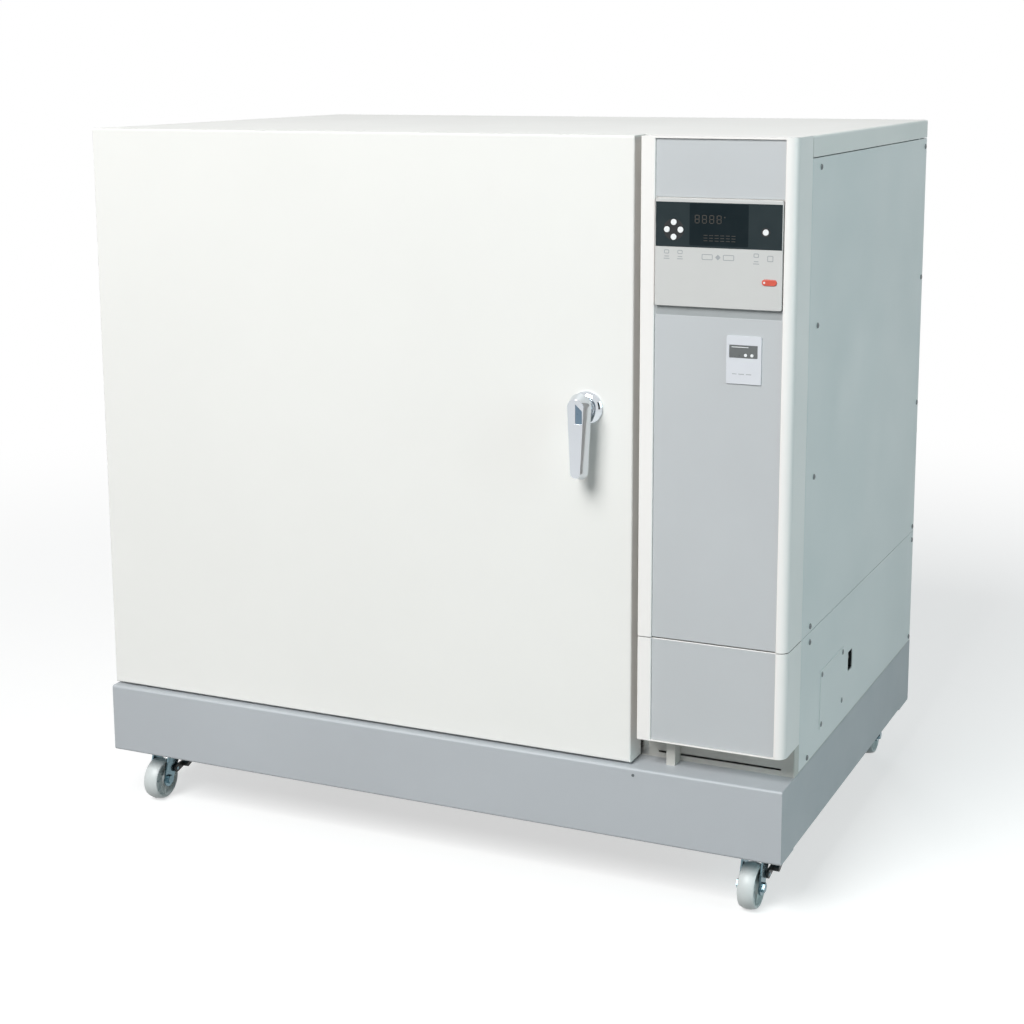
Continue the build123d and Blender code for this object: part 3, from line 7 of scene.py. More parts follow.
import json
import logging
import math
from collections.abc import Callable
from dataclasses import dataclass
from enum import Enum

import bmesh
import bpy
from mathutils import Matrix, Vector


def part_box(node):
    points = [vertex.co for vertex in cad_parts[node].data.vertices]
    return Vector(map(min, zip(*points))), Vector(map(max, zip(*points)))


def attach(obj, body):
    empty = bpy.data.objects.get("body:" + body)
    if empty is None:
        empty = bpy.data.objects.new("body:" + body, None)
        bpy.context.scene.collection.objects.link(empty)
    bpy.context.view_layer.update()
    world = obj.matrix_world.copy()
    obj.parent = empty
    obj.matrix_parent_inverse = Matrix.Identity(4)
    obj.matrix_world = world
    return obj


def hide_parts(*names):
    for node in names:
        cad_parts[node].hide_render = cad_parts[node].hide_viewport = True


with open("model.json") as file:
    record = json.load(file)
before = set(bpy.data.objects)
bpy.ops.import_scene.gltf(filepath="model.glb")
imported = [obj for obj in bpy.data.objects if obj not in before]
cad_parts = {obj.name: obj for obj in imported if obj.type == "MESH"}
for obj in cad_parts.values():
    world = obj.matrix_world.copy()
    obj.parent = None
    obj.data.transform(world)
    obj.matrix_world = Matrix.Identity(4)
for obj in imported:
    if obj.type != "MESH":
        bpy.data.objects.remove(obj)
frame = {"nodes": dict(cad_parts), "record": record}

LOG = logging.getLogger("oven")
MM = 0.001

Piece = bpy.types.Object
Tree = bpy.types.NodeTree
Socket = bpy.types.NodeSocket
Pair = tuple[float, float]
Triple = tuple[float, float, float]


# Colour and node helpers

def linear(hex_colour: str) -> tuple[float, float, float, float]:
    """Turn an sRGB hex colour to the linear values that shaders take.

    Args:
        hex_colour: The colour as written, such as "#F4F3EF".

    Returns:
        Linear red, green and blue, and full alpha.
    """
    channels = [int(hex_colour[i:i + 2], 16) / 255 for i in (1, 3, 5)]
    red, green, blue = (
        c / 12.92 if c <= 0.04045 else ((c + 0.055) / 1.055) ** 2.4 for c in channels
    )
    return (red, green, blue, 1.0)


def add_node(
    tree: Tree,
    kind: str,
    settings: dict[str, object] | None = None,
    links: dict[str | int, Socket] | None = None,
) -> bpy.types.Node:
    """Add a node with its settings and links.

    Args:
        tree: The tree that the node joins.
        kind: The node's type name.
        settings: Input sockets by name, or node properties by name.
        links: Input sockets by name or number, each with the output that feeds it.

    Returns:
        The new node.
    """
    node = tree.nodes.new(kind)
    for name, value in (settings or {}).items():
        if name in node.inputs:
            node.inputs[name].default_value = value
        else:
            setattr(node, name, value)
    for name, source in (links or {}).items():
        tree.links.new(source, node.inputs[name])
    return node


def any_ray(tree: Tree, *kinds: str) -> Socket:
    """Make a value that is 1 for rays of any of these kinds.

    Args:
        tree: The tree of a material or of the world.
        kinds: The kinds, as the Light Path node names them.

    Returns:
        The value's output.
    """
    path = add_node(tree, "ShaderNodeLightPath")
    found = path.outputs[kinds[0]]
    for kind in kinds[1:]:
        more = {0: found, 1: path.outputs[kind]}
        found = add_node(tree, "ShaderNodeMath", {"operation": "MAXIMUM"}, more).outputs["Value"]
    return found


class Grain(Enum):
    """The direction in which a surface was worked, as the scale of its grain."""

    EVEN = (1.0, 1.0, 1.0)
    UPRIGHT = (1.0, 1.0, 0.02)


class Patches(Enum):
    """How the patches of a pattern break up: the noise's detail and roughness."""

    SOFT = (4.0, 0.55)
    SMEARED = (6.0, 0.65)
    FINE = (3.0, 0.5)


# The stretch of the noise that its patches fill
NOISE_LOW = 0.3
NOISE_HIGH = 0.7
# Rubbed patches are this share of the mottle's size, and none is glossier than this roughness
RUBBED_SHARE = 0.4
GLOSSIEST = 0.02
COAT_ROUGHNESS = 0.05
SHEEN_ROUGHNESS = 0.5
RELIEF_STRENGTH = 0.6


def wander(
    tree: Tree, place: Socket, patches: Patches, size: float, low: float, high: float
) -> Socket:
    """Make a value that wanders between two others over a surface.

    Args:
        tree: The material's tree.
        place: Object coordinates in metres.
        patches: How its patches break up.
        size: The patches' size in millimetres.
        low: The lowest value, where the noise is at NOISE_LOW.
        high: The highest value, where it is at NOISE_HIGH.

    Returns:
        The value's output.
    """
    detail, roughness = patches.value
    noise = add_node(
        tree,
        "ShaderNodeTexNoise",
        {"Scale": 1 / (size * MM), "Detail": detail, "Roughness": roughness},
        {"Vector": place},
    )
    value = add_node(
        tree,
        "ShaderNodeMapRange",
        {"From Min": NOISE_LOW, "From Max": NOISE_HIGH, "To Min": low, "To Max": high},
        {"Value": noise.outputs["Fac"]},
    )
    return value.outputs["Result"]


@dataclass(frozen=True)
class Finish:
    """A substance and how its surface was made.

    Sizes are in millimetres. The mottle is a broad, faint change of tone, the rub a change of
    gloss, and the grain is the fine relief that breaks up the gloss.
    """

    name: str
    colour: str
    roughness: float
    metallic: float = 0.0
    ior: float = 1.5
    mottle: float = 0.02
    mottle_size: float = 120.0
    grain_depth: float = 0.01
    grain_size: float = 1.5
    grain: Grain = Grain.EVEN
    rub: float = 0.06
    coat: float = 0.0
    sheen: float = 0.0

    def material(self) -> bpy.types.Material:
        """Build the material.

        Returns:
            The material, made once for each name.
        """
        found = bpy.data.materials.get(self.name)
        if found:
            return found
        made = bpy.data.materials.new(self.name)
        made.use_nodes = True
        made.diffuse_color = linear(self.colour)
        tree = made.node_tree
        tree.nodes.clear()
        place = add_node(tree, "ShaderNodeTexCoord").outputs["Object"]
        varied = {
            "Base Color": self.tone(tree, place),
            "Roughness": self.gloss(tree, place),
            "Normal": self.relief(tree, place),
        }
        shader = add_node(tree, "ShaderNodeBsdfPrincipled", self.constants(), varied)
        add_node(tree, "ShaderNodeOutputMaterial", links={"Surface": shader.outputs["BSDF"]})
        return made

    def constants(self) -> dict[str, object]:
        """Values that are the same all over, set on the shader's own sockets.

        Returns:
            The values by their sockets' names.
        """
        values: dict[str, object] = {"Metallic": self.metallic}
        if not self.metallic:
            values["IOR"] = self.ior
        if self.coat:
            values.update({"Coat Weight": self.coat, "Coat Roughness": COAT_ROUGHNESS})
        if self.sheen:
            values.update({"Sheen Weight": self.sheen, "Sheen Roughness": SHEEN_ROUGHNESS})
        return values

    def tone(self, tree: Tree, place: Socket) -> Socket:
        """Vary the colour's lightness a little over a broad scale.

        Args:
            tree: The material's tree.
            place: Object coordinates in metres.

        Returns:
            The colour output.
        """
        low, high = 1 - self.mottle, 1 + self.mottle
        level = wander(tree, place, Patches.SOFT, self.mottle_size, low, high)
        shade = add_node(
            tree, "ShaderNodeHueSaturation", {"Color": linear(self.colour)}, {"Value": level}
        )
        return shade.outputs["Color"]

    def gloss(self, tree: Tree, place: Socket) -> Socket:
        """Vary the roughness where hands and cloths have rubbed the surface.

        Args:
            tree: The material's tree.
            place: Object coordinates in metres.

        Returns:
            The roughness output.
        """
        low = max(GLOSSIEST, self.roughness - self.rub)
        high = min(1.0, self.roughness + self.rub)
        return wander(tree, place, Patches.SMEARED, self.mottle_size * RUBBED_SHARE, low, high)

    def relief(self, tree: Tree, place: Socket) -> Socket:
        """Raise the grain, drawn out along the working direction.

        Args:
            tree: The material's tree.
            place: Object coordinates in metres.

        Returns:
            The normal output.
        """
        drawn = add_node(
            tree, "ShaderNodeMapping", {"Scale": self.grain.value}, {"Vector": place}
        )
        detail, roughness = Patches.FINE.value
        noise = add_node(
            tree,
            "ShaderNodeTexNoise",
            {"Scale": 1 / (self.grain_size * MM), "Detail": detail, "Roughness": roughness},
            {"Vector": drawn.outputs["Vector"]},
        )
        bump = add_node(
            tree,
            "ShaderNodeBump",
            {"Strength": RELIEF_STRENGTH, "Distance": self.grain_depth * MM},
            {"Height": noise.outputs["Fac"]},
        )
        return bump.outputs["Normal"]


# Finishes, each named for the real substance

# Baked white enamel on steel sheet: an even, warm white with a faint orange peel.
DOOR_ENAMEL = Finish(
    "baked_enamel_warm_white", "#F3F2EE", 0.38, mottle=0.012, mottle_size=400, grain_depth=0.02,
    grain_size=2.2,
)
# The same enamel on the casing, made a little cooler and darker: painted shade, for the bluish
# shade that its sides stand in.
SHADED_CASING_ENAMEL = Finish(
    "baked_enamel_shaded_white", "#E9ECEB", 0.42, mottle=0.015, mottle_size=300, grain_depth=0.025,
    grain_size=2.0,
)
# The column's cover is the purest white, and a little glossier than the door.
COLUMN_ENAMEL = Finish(
    "baked_enamel_pure_white", "#F7F4F1", 0.34, mottle=0.01, mottle_size=300, grain_depth=0.015,
    grain_size=2.0,
)
# Satin grey enamel on the column's inset panels: flat and even.
GREY_ENAMEL = Finish(
    "satin_enamel_light_grey", "#C3C6C8", 0.5, mottle_size=200, grain_depth=0.02,
    grain_size=1.2,
)
# The plinth's tougher grey enamel, with a slightly coarser peel.
PLINTH_ENAMEL = Finish(
    "satin_enamel_blue_grey", "#B9BDC1", 0.48, mottle=0.025, mottle_size=250, grain_depth=0.03,
    grain_size=1.8,
)
# Primer on the chassis sheets: flat, beige grey.
CHASSIS_PAINT = Finish(
    "chassis_paint_beige", "#CBCAC4", 0.5, mottle=0.03, grain_depth=0.02,
)
# Brushed stainless sheet in the chamber: a soft sheen, drawn out upwards.
CHAMBER_STEEL = Finish(
    "brushed_stainless_steel", "#C6C6C3", 0.3, metallic=1.0, mottle=0.03, mottle_size=180,
    grain_depth=0.006, grain_size=0.5, grain=Grain.UPRIGHT, rub=0.08,
)
# Polished stainless rod of the shelves: clear, narrow highlights.
ROD_STEEL = Finish(
    "polished_stainless_rod", "#CFCFCC", 0.16, metallic=1.0, mottle=0.03, mottle_size=60,
    grain_depth=0.002,
)
# Chromium plate over a zinc casting: nearly a mirror, with a cool tone.
CHROME = Finish(
    "chromium_plate", "#D3D8DD", 0.07, metallic=1.0, mottle=0.015, mottle_size=30,
    grain_depth=0.001, grain_size=3.0, rub=0.03,
)
# Bright zinc plate with a blue passivation, whose tone changes in small patches.
BRIGHT_ZINC = Finish(
    "bright_zinc_plate", "#7F99A2", 0.24, metallic=1.0, mottle=0.14, mottle_size=14,
    grain_depth=0.006, grain_size=1.0, rub=0.1,
)
# Steel sheath of the heating elements, oxidised to a dull brown grey.
HEATER_SHEATH = Finish(
    "oxidised_heater_sheath", "#6E6660", 0.5, metallic=1.0, mottle=0.15, mottle_size=25,
)
# Cast aluminium of the fan wheel: pale and dull.
FAN_ALLOY = Finish("cast_aluminium", "#B9BCBE", 0.42, metallic=1.0, mottle=0.05, mottle_size=20)
# Dark satin paint on the motor.
MOTOR_PAINT = Finish("motor_enamel_dark", "#40494D", 0.45, mottle=0.05, mottle_size=40)
# Compressed mineral wool: a coarse yellowish felt with no gloss.
MINERAL_WOOL = Finish(
    "mineral_wool", "#CFC7A9", 0.95, mottle=0.2, mottle_size=12, grain_depth=0.8, grain_size=2.5,
    sheen=0.3,
)
# Moulded silicone rubber of the door seal: brick red, with a greasy gloss.
SILICONE = Finish(
    "silicone_rubber_brick", "#8F4436", 0.62, ior=1.43, mottle=0.06, mottle_size=40,
    grain_depth=0.02, grain_size=0.8,
)
# Moulded ABS of the control unit, spark-eroded to an even, matt grain.
CONTROL_SHELL = Finish(
    "moulded_abs_warm_grey", "#CDCDCB", 0.55, ior=1.53, mottle=0.012, mottle_size=80,
    grain_depth=0.02, grain_size=0.6,
)
# Tinted acrylic of the display strip: nearly black and clear-coated.
STRIP_ACRYLIC = Finish(
    "tinted_acrylic_black", "#2C3639", 0.22, ior=1.49, mottle_size=60,
    grain_depth=0.002, grain_size=0.8, rub=0.03, coat=0.4,
)
# Glass-fibre board under green lacquer.
BOARD = Finish("glass_fibre_board", "#2B5B43", 0.5, mottle=0.06, mottle_size=15)
# Moulded white keys and white print: smooth, with a soft gloss.
KEY_CAP = Finish(
    "moulded_key_white", "#F4F5F5", 0.35, mottle=0.01, mottle_size=5, grain_depth=0.004,
)
# Moulded red key under a clear coat.
KEY_RED = Finish(
    "moulded_key_red", "#D9604F", 0.3, mottle=0.03, mottle_size=8, grain_depth=0.004, coat=0.3,
)
# Moulded ABS of the overheat protector: pale, cool and satin.
PROTECTOR_SHELL = Finish(
    "moulded_abs_pale_grey", "#DBDDE2", 0.5, mottle=0.012, mottle_size=40, grain_depth=0.015,
    grain_size=0.6,
)
# Moulded phenolic of the switch: black, with a low gloss.
SWITCH_BLACK = Finish("moulded_phenolic_black", "#1B1D1F", 0.35, mottle=0.05, mottle_size=10)
# Moulded nylon of the cable gland: black and dull.
GLAND_NYLON = Finish("moulded_nylon_black", "#232527", 0.5, mottle=0.05, mottle_size=15)
# Plated steel of the screw heads, dulled by the driver.
SCREW_STEEL = Finish(
    "plated_screw_steel", "#6F7678", 0.4, metallic=1.0, mottle=0.12, mottle_size=6,
)
# Moulded nylon of the wheels: pale grey, with a waxy gloss.
WHEEL_NYLON = Finish(
    "moulded_nylon_pale_grey", "#D6DBDA", 0.42, ior=1.53, mottle=0.03, mottle_size=25,
    grain_depth=0.02, grain_size=1.0,
)
# Black enamel of the brake pedals, with a soft gloss.
PEDAL_PAINT = Finish("pedal_enamel_black", "#17191A", 0.35, mottle=0.08, mottle_size=15)
# Darker acrylic of the display window.
WINDOW_ACRYLIC = Finish(
    "tinted_acrylic_window", "#1B2529", 0.16, ior=1.49, mottle_size=60,
    grain_depth=0.002, grain_size=0.8, rub=0.03,
)
# Unlit segments seen through the tint.
SEGMENT_TINT = Finish(
    "unlit_display_segment", "#3F3B36", 0.35, mottle=0.05, mottle_size=6, grain_depth=0.001,
)
# Matt black print under the keys.
PAD_BLACK = Finish(
    "screen_print_black", "#0F1214", 0.5, mottle_size=10, grain_depth=0.002,
)
# Grey print on the mouldings.
PRINT_GREY = Finish(
    "screen_print_grey", "#A2A5A8", 0.55, mottle=0.04, mottle_size=5, grain_depth=0.002,
)
# Grey display window of the overheat protector.
PROTECTOR_WINDOW = Finish(
    "tinted_polycarbonate_grey", "#6B6E6E", 0.3, ior=1.58, mottle=0.03, mottle_size=12,
    grain_depth=0.002, rub=0.04,
)
# Painted dark reflection: a blue-grey sheet in the pocket of the lever's head, where the chrome
# pocket looks dark.
POCKET_PAINTED_REFLECTION = Finish(
    "painted_reflection_blue_grey", "#6A7F90", 0.3, mottle=0.04, mottle_size=8, grain_depth=0.004,
    grain_size=0.6,
)
# Painted shade: a darker grey sheet lining the groove under the control unit, where its shadow
# falls.
GROOVE_PAINTED_SHADE = Finish(
    "painted_shade_groove_grey", "#A3A7A8", 0.5, mottle=0.03, mottle_size=30, grain_depth=0.004,
    grain_size=0.8,
)

FINISH_OF_SLOT = {
    "white_enamel": DOOR_ENAMEL,
    # The casing gets the painted-shade copy of the white enamel: cooler and darker
    "side_enamel": SHADED_CASING_ENAMEL,
    "column_enamel": COLUMN_ENAMEL,
    "grey_enamel": GREY_ENAMEL,
    "plinth_enamel": PLINTH_ENAMEL,
    "chassis_paint": CHASSIS_PAINT,
    "stainless": CHAMBER_STEEL,
    "stainless_wire": ROD_STEEL,
    "zinc": BRIGHT_ZINC,
    "heater_sheath": HEATER_SHEATH,
    "fan_alloy": FAN_ALLOY,
    "motor_paint": MOTOR_PAINT,
    "wool": MINERAL_WOOL,
    "gasket": SILICONE,
    "control_shell": CONTROL_SHELL,
    "display_black": STRIP_ACRYLIC,
    "board_green": BOARD,
    "key_white": KEY_CAP,
    "power_red": KEY_RED,
    "protector_grey": PROTECTOR_SHELL,
    "breaker_black": SWITCH_BLACK,
    "gland_black": GLAND_NYLON,
    "screw_zinc": SCREW_STEEL,
    "chrome": CHROME,
    "wheel_nylon": WHEEL_NYLON,
    "pedal_black": PEDAL_PAINT,
}


def dress_nodes() -> None:
    """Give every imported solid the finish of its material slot."""
    slots = {part["node"]: part["material_slot"] for part in frame["record"]["subparts"]}
    for name, solid in frame["nodes"].items():
        material = FINISH_OF_SLOT[slots[name]].material()
        solid.data.materials.clear()
        solid.data.materials.append(material)


# Modelling helpers: places are millimetres from the cabinet's left, the plinth's front and its top

PLINTH_LOW, PLINTH_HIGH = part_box("plinth_frame")
# The cabinet's width, and how far its back is behind the plinth's front
WIDTH = 1240
DEPTH = 845
# Corners this close are merged into one, and a turned outline ends this close to its axis
NEAR = 0.01
# The depth of the tools that cut holes in prints
TOOL_DEPTH = 1
# Edges that turn by more degrees than the first are rounded, and below the second shaded smooth
BEVEL_ANGLE = 25
SMOOTH_ANGLE = 32


def spot(x: float, y: float, z: float) -> Vector:
    """Turn a place on the cabinet, in millimetres, to the shared frame in metres."""
    return Vector((PLINTH_LOW.x + x * MM, PLINTH_LOW.y + y * MM, PLINTH_HIGH.z + z * MM))


TILT = Matrix.Rotation(math.radians(90), 4, "X")


class Facing(Enum):
    """The side that a piece's local Z looks to, as the turn that brings it there."""

    UP = Matrix.Identity(4)
    FRONT = TILT
    BACK = Matrix.Rotation(math.radians(180), 4, "Z") @ TILT
    RIGHT = Matrix.Rotation(math.radians(90), 4, "Z") @ TILT
    LEFT = Matrix.Rotation(math.radians(-90), 4, "Z") @ TILT


class Kind(Enum):
    """What a selection takes."""

    EDGES = "EDGE"
    CORNERS = "VERT"


def rest_tools() -> None:
    """Leave edit mode and deselect everything."""
    if bpy.context.object and bpy.context.object.mode != "OBJECT":
        bpy.ops.object.mode_set(mode="OBJECT")
    bpy.ops.object.select_all(action="DESELECT")


def take(*pieces: Piece) -> Piece:
    """Select only these pieces, with the first one active.

    Args:
        pieces: The pieces to select.

    Returns:
        The first piece.
    """
    rest_tools()
    for piece in pieces:
        piece.select_set(True)
    bpy.context.view_layer.objects.active = pieces[0]
    return pieces[0]


def edit(piece: Piece) -> None:
    """Open a piece in edit mode with all of it selected, by its corners.

    Args:
        piece: The piece to open.
    """
    take(piece)
    bpy.ops.object.mode_set(mode="EDIT")
    bpy.ops.mesh.select_mode(type="VERT")
    bpy.ops.mesh.select_all(action="SELECT")


def pick(piece: Piece, kind: Kind, test: Callable[[Vector, Vector], bool]) -> None:
    """Select the edges or corners of the piece in edit mode that pass a test.

    Args:
        piece: The piece that is open in edit mode.
        kind: What to select.
        test: Takes the place in local metres, and the edge's direction or the normal.
    """
    bpy.ops.mesh.select_mode(type=kind.value)
    bpy.ops.mesh.select_all(action="DESELECT")
    mesh = bmesh.from_edit_mesh(piece.data)
    if kind is Kind.EDGES:
        for edge in mesh.edges:
            first, last = (corner.co for corner in edge.verts)
            edge.select_set(test((first + last) / 2, (last - first).normalized()))
    else:
        for corner in mesh.verts:
            corner.select_set(test(corner.co, corner.normal))
    mesh.select_flush_mode()
    bmesh.update_edit_mesh(piece.data)


def apply_modifier(piece: Piece, kind: str, **settings: object) -> None:
    """Add a modifier with its settings and apply it.

    Args:
        piece: The piece.
        kind: The modifier's type name.
        settings: The modifier's properties.
    """
    take(piece)
    modifier = piece.modifiers.new(kind.lower(), kind)
    for name, value in settings.items():
        setattr(modifier, name, value)
    bpy.ops.object.modifier_apply(modifier=modifier.name)


def round_edges(piece: Piece, width: float, segments: int = 2) -> None:
    """Round the sharp edges of a piece.

    Args:
        piece: The piece.
        width: The rounding in millimetres.
        segments: The steps of the rounding.
    """
    apply_modifier(
        piece,
        "BEVEL",
        width=width * MM,
        segments=segments,
        limit_method="ANGLE",
        angle_limit=math.radians(BEVEL_ANGLE),
        harden_normals=False,
    )


def carve(piece: Piece, tool: Piece) -> None:
    """Cut one piece out of another and throw the tool away."""
    apply_modifier(piece, "BOOLEAN", operation="DIFFERENCE", solver="EXACT", object=tool)
    bpy.data.objects.remove(tool)


def slice_off(place: Triple, way: Triple, fill: bool = True) -> None:
    """Cut away what lies beyond a plane, from the piece that is open in edit mode.

    Args:
        place: A place on the plane, in millimetres.
        way: The side that goes.
        fill: Whether the cut gets a face.
    """
    bpy.ops.mesh.select_all(action="SELECT")
    bpy.ops.mesh.bisect(
        plane_co=[value * MM for value in place], plane_no=way, use_fill=fill, clear_outer=True
    )


def put(piece: Piece, facing: Facing, place: Vector, turn: float = 0) -> Piece:
    """Turn a piece made at the origin to its side and move it to its place.

    Args:
        piece: The piece, with its object at the origin.
        facing: The side that its local Z looks to.
        place: Where its local origin goes.
        turn: Degrees to turn it about its own Z first.

    Returns:
        The same piece.
    """
    piece.data.transform(
        Matrix.Translation(place) @ facing.value @ Matrix.Rotation(math.radians(turn), 4, "Z")
    )
    return piece


def through(tool: Piece, x: float = 0, y: float = 0) -> Piece:
    """Move a tool of TOOL_DEPTH so that it passes through a print on the local XY plane."""
    return put(tool, Facing.UP, Vector((x, y, -TOOL_DEPTH / 2)) * MM)


def copy_of(piece: Piece) -> Piece:
    """Copy a piece together with its mesh.

    Args:
        piece: The piece to copy.

    Returns:
        The copy.
    """
    twin = piece.copy()
    twin.data = piece.data.copy()
    bpy.context.scene.collection.objects.link(twin)
    return twin


def join(pieces: list[Piece]) -> Piece:
    """Join pieces into the first one.

    Args:
        pieces: The pieces, which all go into the first.

    Returns:
        The first piece.
    """
    first = take(*pieces)
    if len(pieces) > 1:
        bpy.ops.object.join()
    return first


def settle(
    piece: Piece,
    name: str,
    finish: Finish,
    body: str,
    stands_for: tuple[str, ...] = (),
) -> None:
    """Finish a piece: place in the mesh, smooth shading, finish, body and slot.

    Args:
        piece: The piece.
        name: Its name in the model.
        finish: What it is made of.
        body: The body that it moves with.
        stands_for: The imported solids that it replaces.
    """
    take(piece)
    bpy.ops.object.transform_apply(location=True, rotation=True, scale=True)
    bpy.ops.object.shade_smooth_by_angle(angle=math.radians(SMOOTH_ANGLE))
    apply_modifier(piece, "WEIGHTED_NORMAL", keep_sharp=True)
    piece.name = name
    piece.data.name = name
    piece.data.materials.clear()
    piece.data.materials.append(finish.material())
    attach(piece, body)
    if stands_for:
        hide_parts(*stands_for)
    LOG.info("%s: %d faces on %s", name, len(piece.data.polygons), body)


def tablet(width: float, height: float, depth: float, corner: float = 0) -> Piece:
    """Make a plate on the local XY plane that rises to its depth, with rounded corners.

    Args:
        width: Size along X in millimetres.
        height: Size along Y.
        depth: Size along Z.
        corner: The corners' radius.

    Returns:
        The plate, with the middle of its back at the origin.
    """
    rest_tools()
    bpy.ops.mesh.primitive_cube_add(size=MM, location=(0, 0, depth * MM / 2))
    plate = bpy.context.active_object
    plate.scale = (width, height, depth)
    bpy.ops.object.transform_apply(location=True, rotation=False, scale=True)
    if corner:
        edit(plate)
        pick(plate, Kind.EDGES, lambda middle, way: abs(way.z) > 0.9)
        bpy.ops.mesh.bevel(offset=corner * MM, segments=5, affect="EDGES")
        bpy.ops.object.mode_set(mode="OBJECT")
    return plate


def disc(radius: float, depth: float, steps: int = 32) -> Piece:
    """Make a round plate on the local XY plane that rises to its depth.

    Args:
        radius: The radius in millimetres.
        depth: Size along Z.
        steps: The corners round it.

    Returns:
        The plate, with the middle of its back at the origin.
    """
    rest_tools()
    bpy.ops.mesh.primitive_cylinder_add(
        vertices=steps, radius=radius * MM, depth=depth * MM, location=(0, 0, depth * MM / 2)
    )
    plate = bpy.context.active_object
    bpy.ops.object.transform_apply(location=True, rotation=False, scale=False)
    return plate


def turned(profile: list[Pair], steps: int = 48) -> Piece:
    """Spin a profile about the local Z axis.

    Args:
        profile: Radius and height in millimetres, in order along the line.
        steps: The faces round the piece.

    Returns:
        The turned piece.
    """
    rest_tools()
    radius, height = profile[0]
    bpy.ops.mesh.primitive_plane_add(size=MM, location=(0, 0, 0))
    piece = bpy.context.active_object
    edit(piece)
    bpy.ops.mesh.merge(type="CENTER")
    bpy.ops.transform.translate(value=(radius * MM, 0, height * MM))
    for (r0, z0), (r1, z1) in zip(profile, profile[1:]):
        bpy.ops.mesh.extrude_vertices_move(
            TRANSFORM_OT_translate={"value": ((r1 - r0) * MM, 0, (z1 - z0) * MM)}
        )
    bpy.ops.mesh.select_all(action="SELECT")
    bpy.ops.mesh.spin(steps=steps, angle=math.tau, center=(0, 0, 0), axis=(0, 0, 1))
    bpy.ops.mesh.select_all(action="SELECT")
    bpy.ops.mesh.remove_doubles(threshold=NEAR * MM)
    bpy.ops.mesh.normals_make_consistent(inside=False)
    bpy.ops.object.mode_set(mode="OBJECT")
    return piece


def tapered_bar(
    length: float, head: float, tip: float, depth: float, lean: float = 0, steps: int = 40
) -> Piece:
    """Make a bar between a round head at the origin and a round tip at length along -Y.

    Args:
        length: From the head's centre to the tip's, in millimetres.
        head: The head's radius at the bar's back.
        tip: The tip's radius at the back.
        depth: How far the bar rises along Z.
        lean: How far the walls lean in over that depth.
        steps: The corners of the outline.

    Returns:
        The closed bar.
    """
    rest_tools()
    bpy.ops.mesh.primitive_circle_add(vertices=steps, radius=head * MM, fill_type="NGON")
    bar = bpy.context.active_object
    edit(bar)
    pick(bar, Kind.CORNERS, lambda place, way: place.y < -NEAR * MM)
    bpy.ops.transform.resize(value=(tip / head,) * 3, center_override=(0, 0, 0))
    bpy.ops.transform.translate(value=(0, -length * MM, 0))
    bpy.ops.mesh.select_mode(type="FACE")
    bpy.ops.mesh.select_all(action="SELECT")
    if lean:
        bpy.ops.mesh.inset(thickness=lean * MM, depth=depth * MM)
    else:
        bpy.ops.mesh.extrude_region_move(TRANSFORM_OT_translate={"value": (0, 0, depth * MM)})
    pick(bar, Kind.EDGES, lambda middle, way: middle.z < NEAR * MM)
    bpy.ops.mesh.edge_face_add()
    bpy.ops.mesh.select_all(action="SELECT")
    bpy.ops.mesh.normals_make_consistent(inside=False)
    bpy.ops.object.mode_set(mode="OBJECT")
    return bar


def cross_head(radius: float, height: float) -> Piece:
    """Make a pan head with a cross recess, standing on the local XY plane.

    Args:
        radius: The head's radius in millimetres.
        height: The head's height.

    Returns:
        The screw head.
    """
    head = turned(
        [
            (NEAR, 0),
            (radius, 0),
            (radius, height * 0.35),
            (radius * 0.93, height * 0.72),
            (radius * 0.72, height * 0.94),
            (NEAR, height),
        ],
        steps=24,
    )
    for quarter in (0, 90):
        blade = tablet(radius * 1.05, radius * 0.26, height)
        put(blade, Facing.UP, Vector((0, 0, height * 0.42 * MM)), quarter)
        carve(head, blade)
    return head


# Sub-assemblies

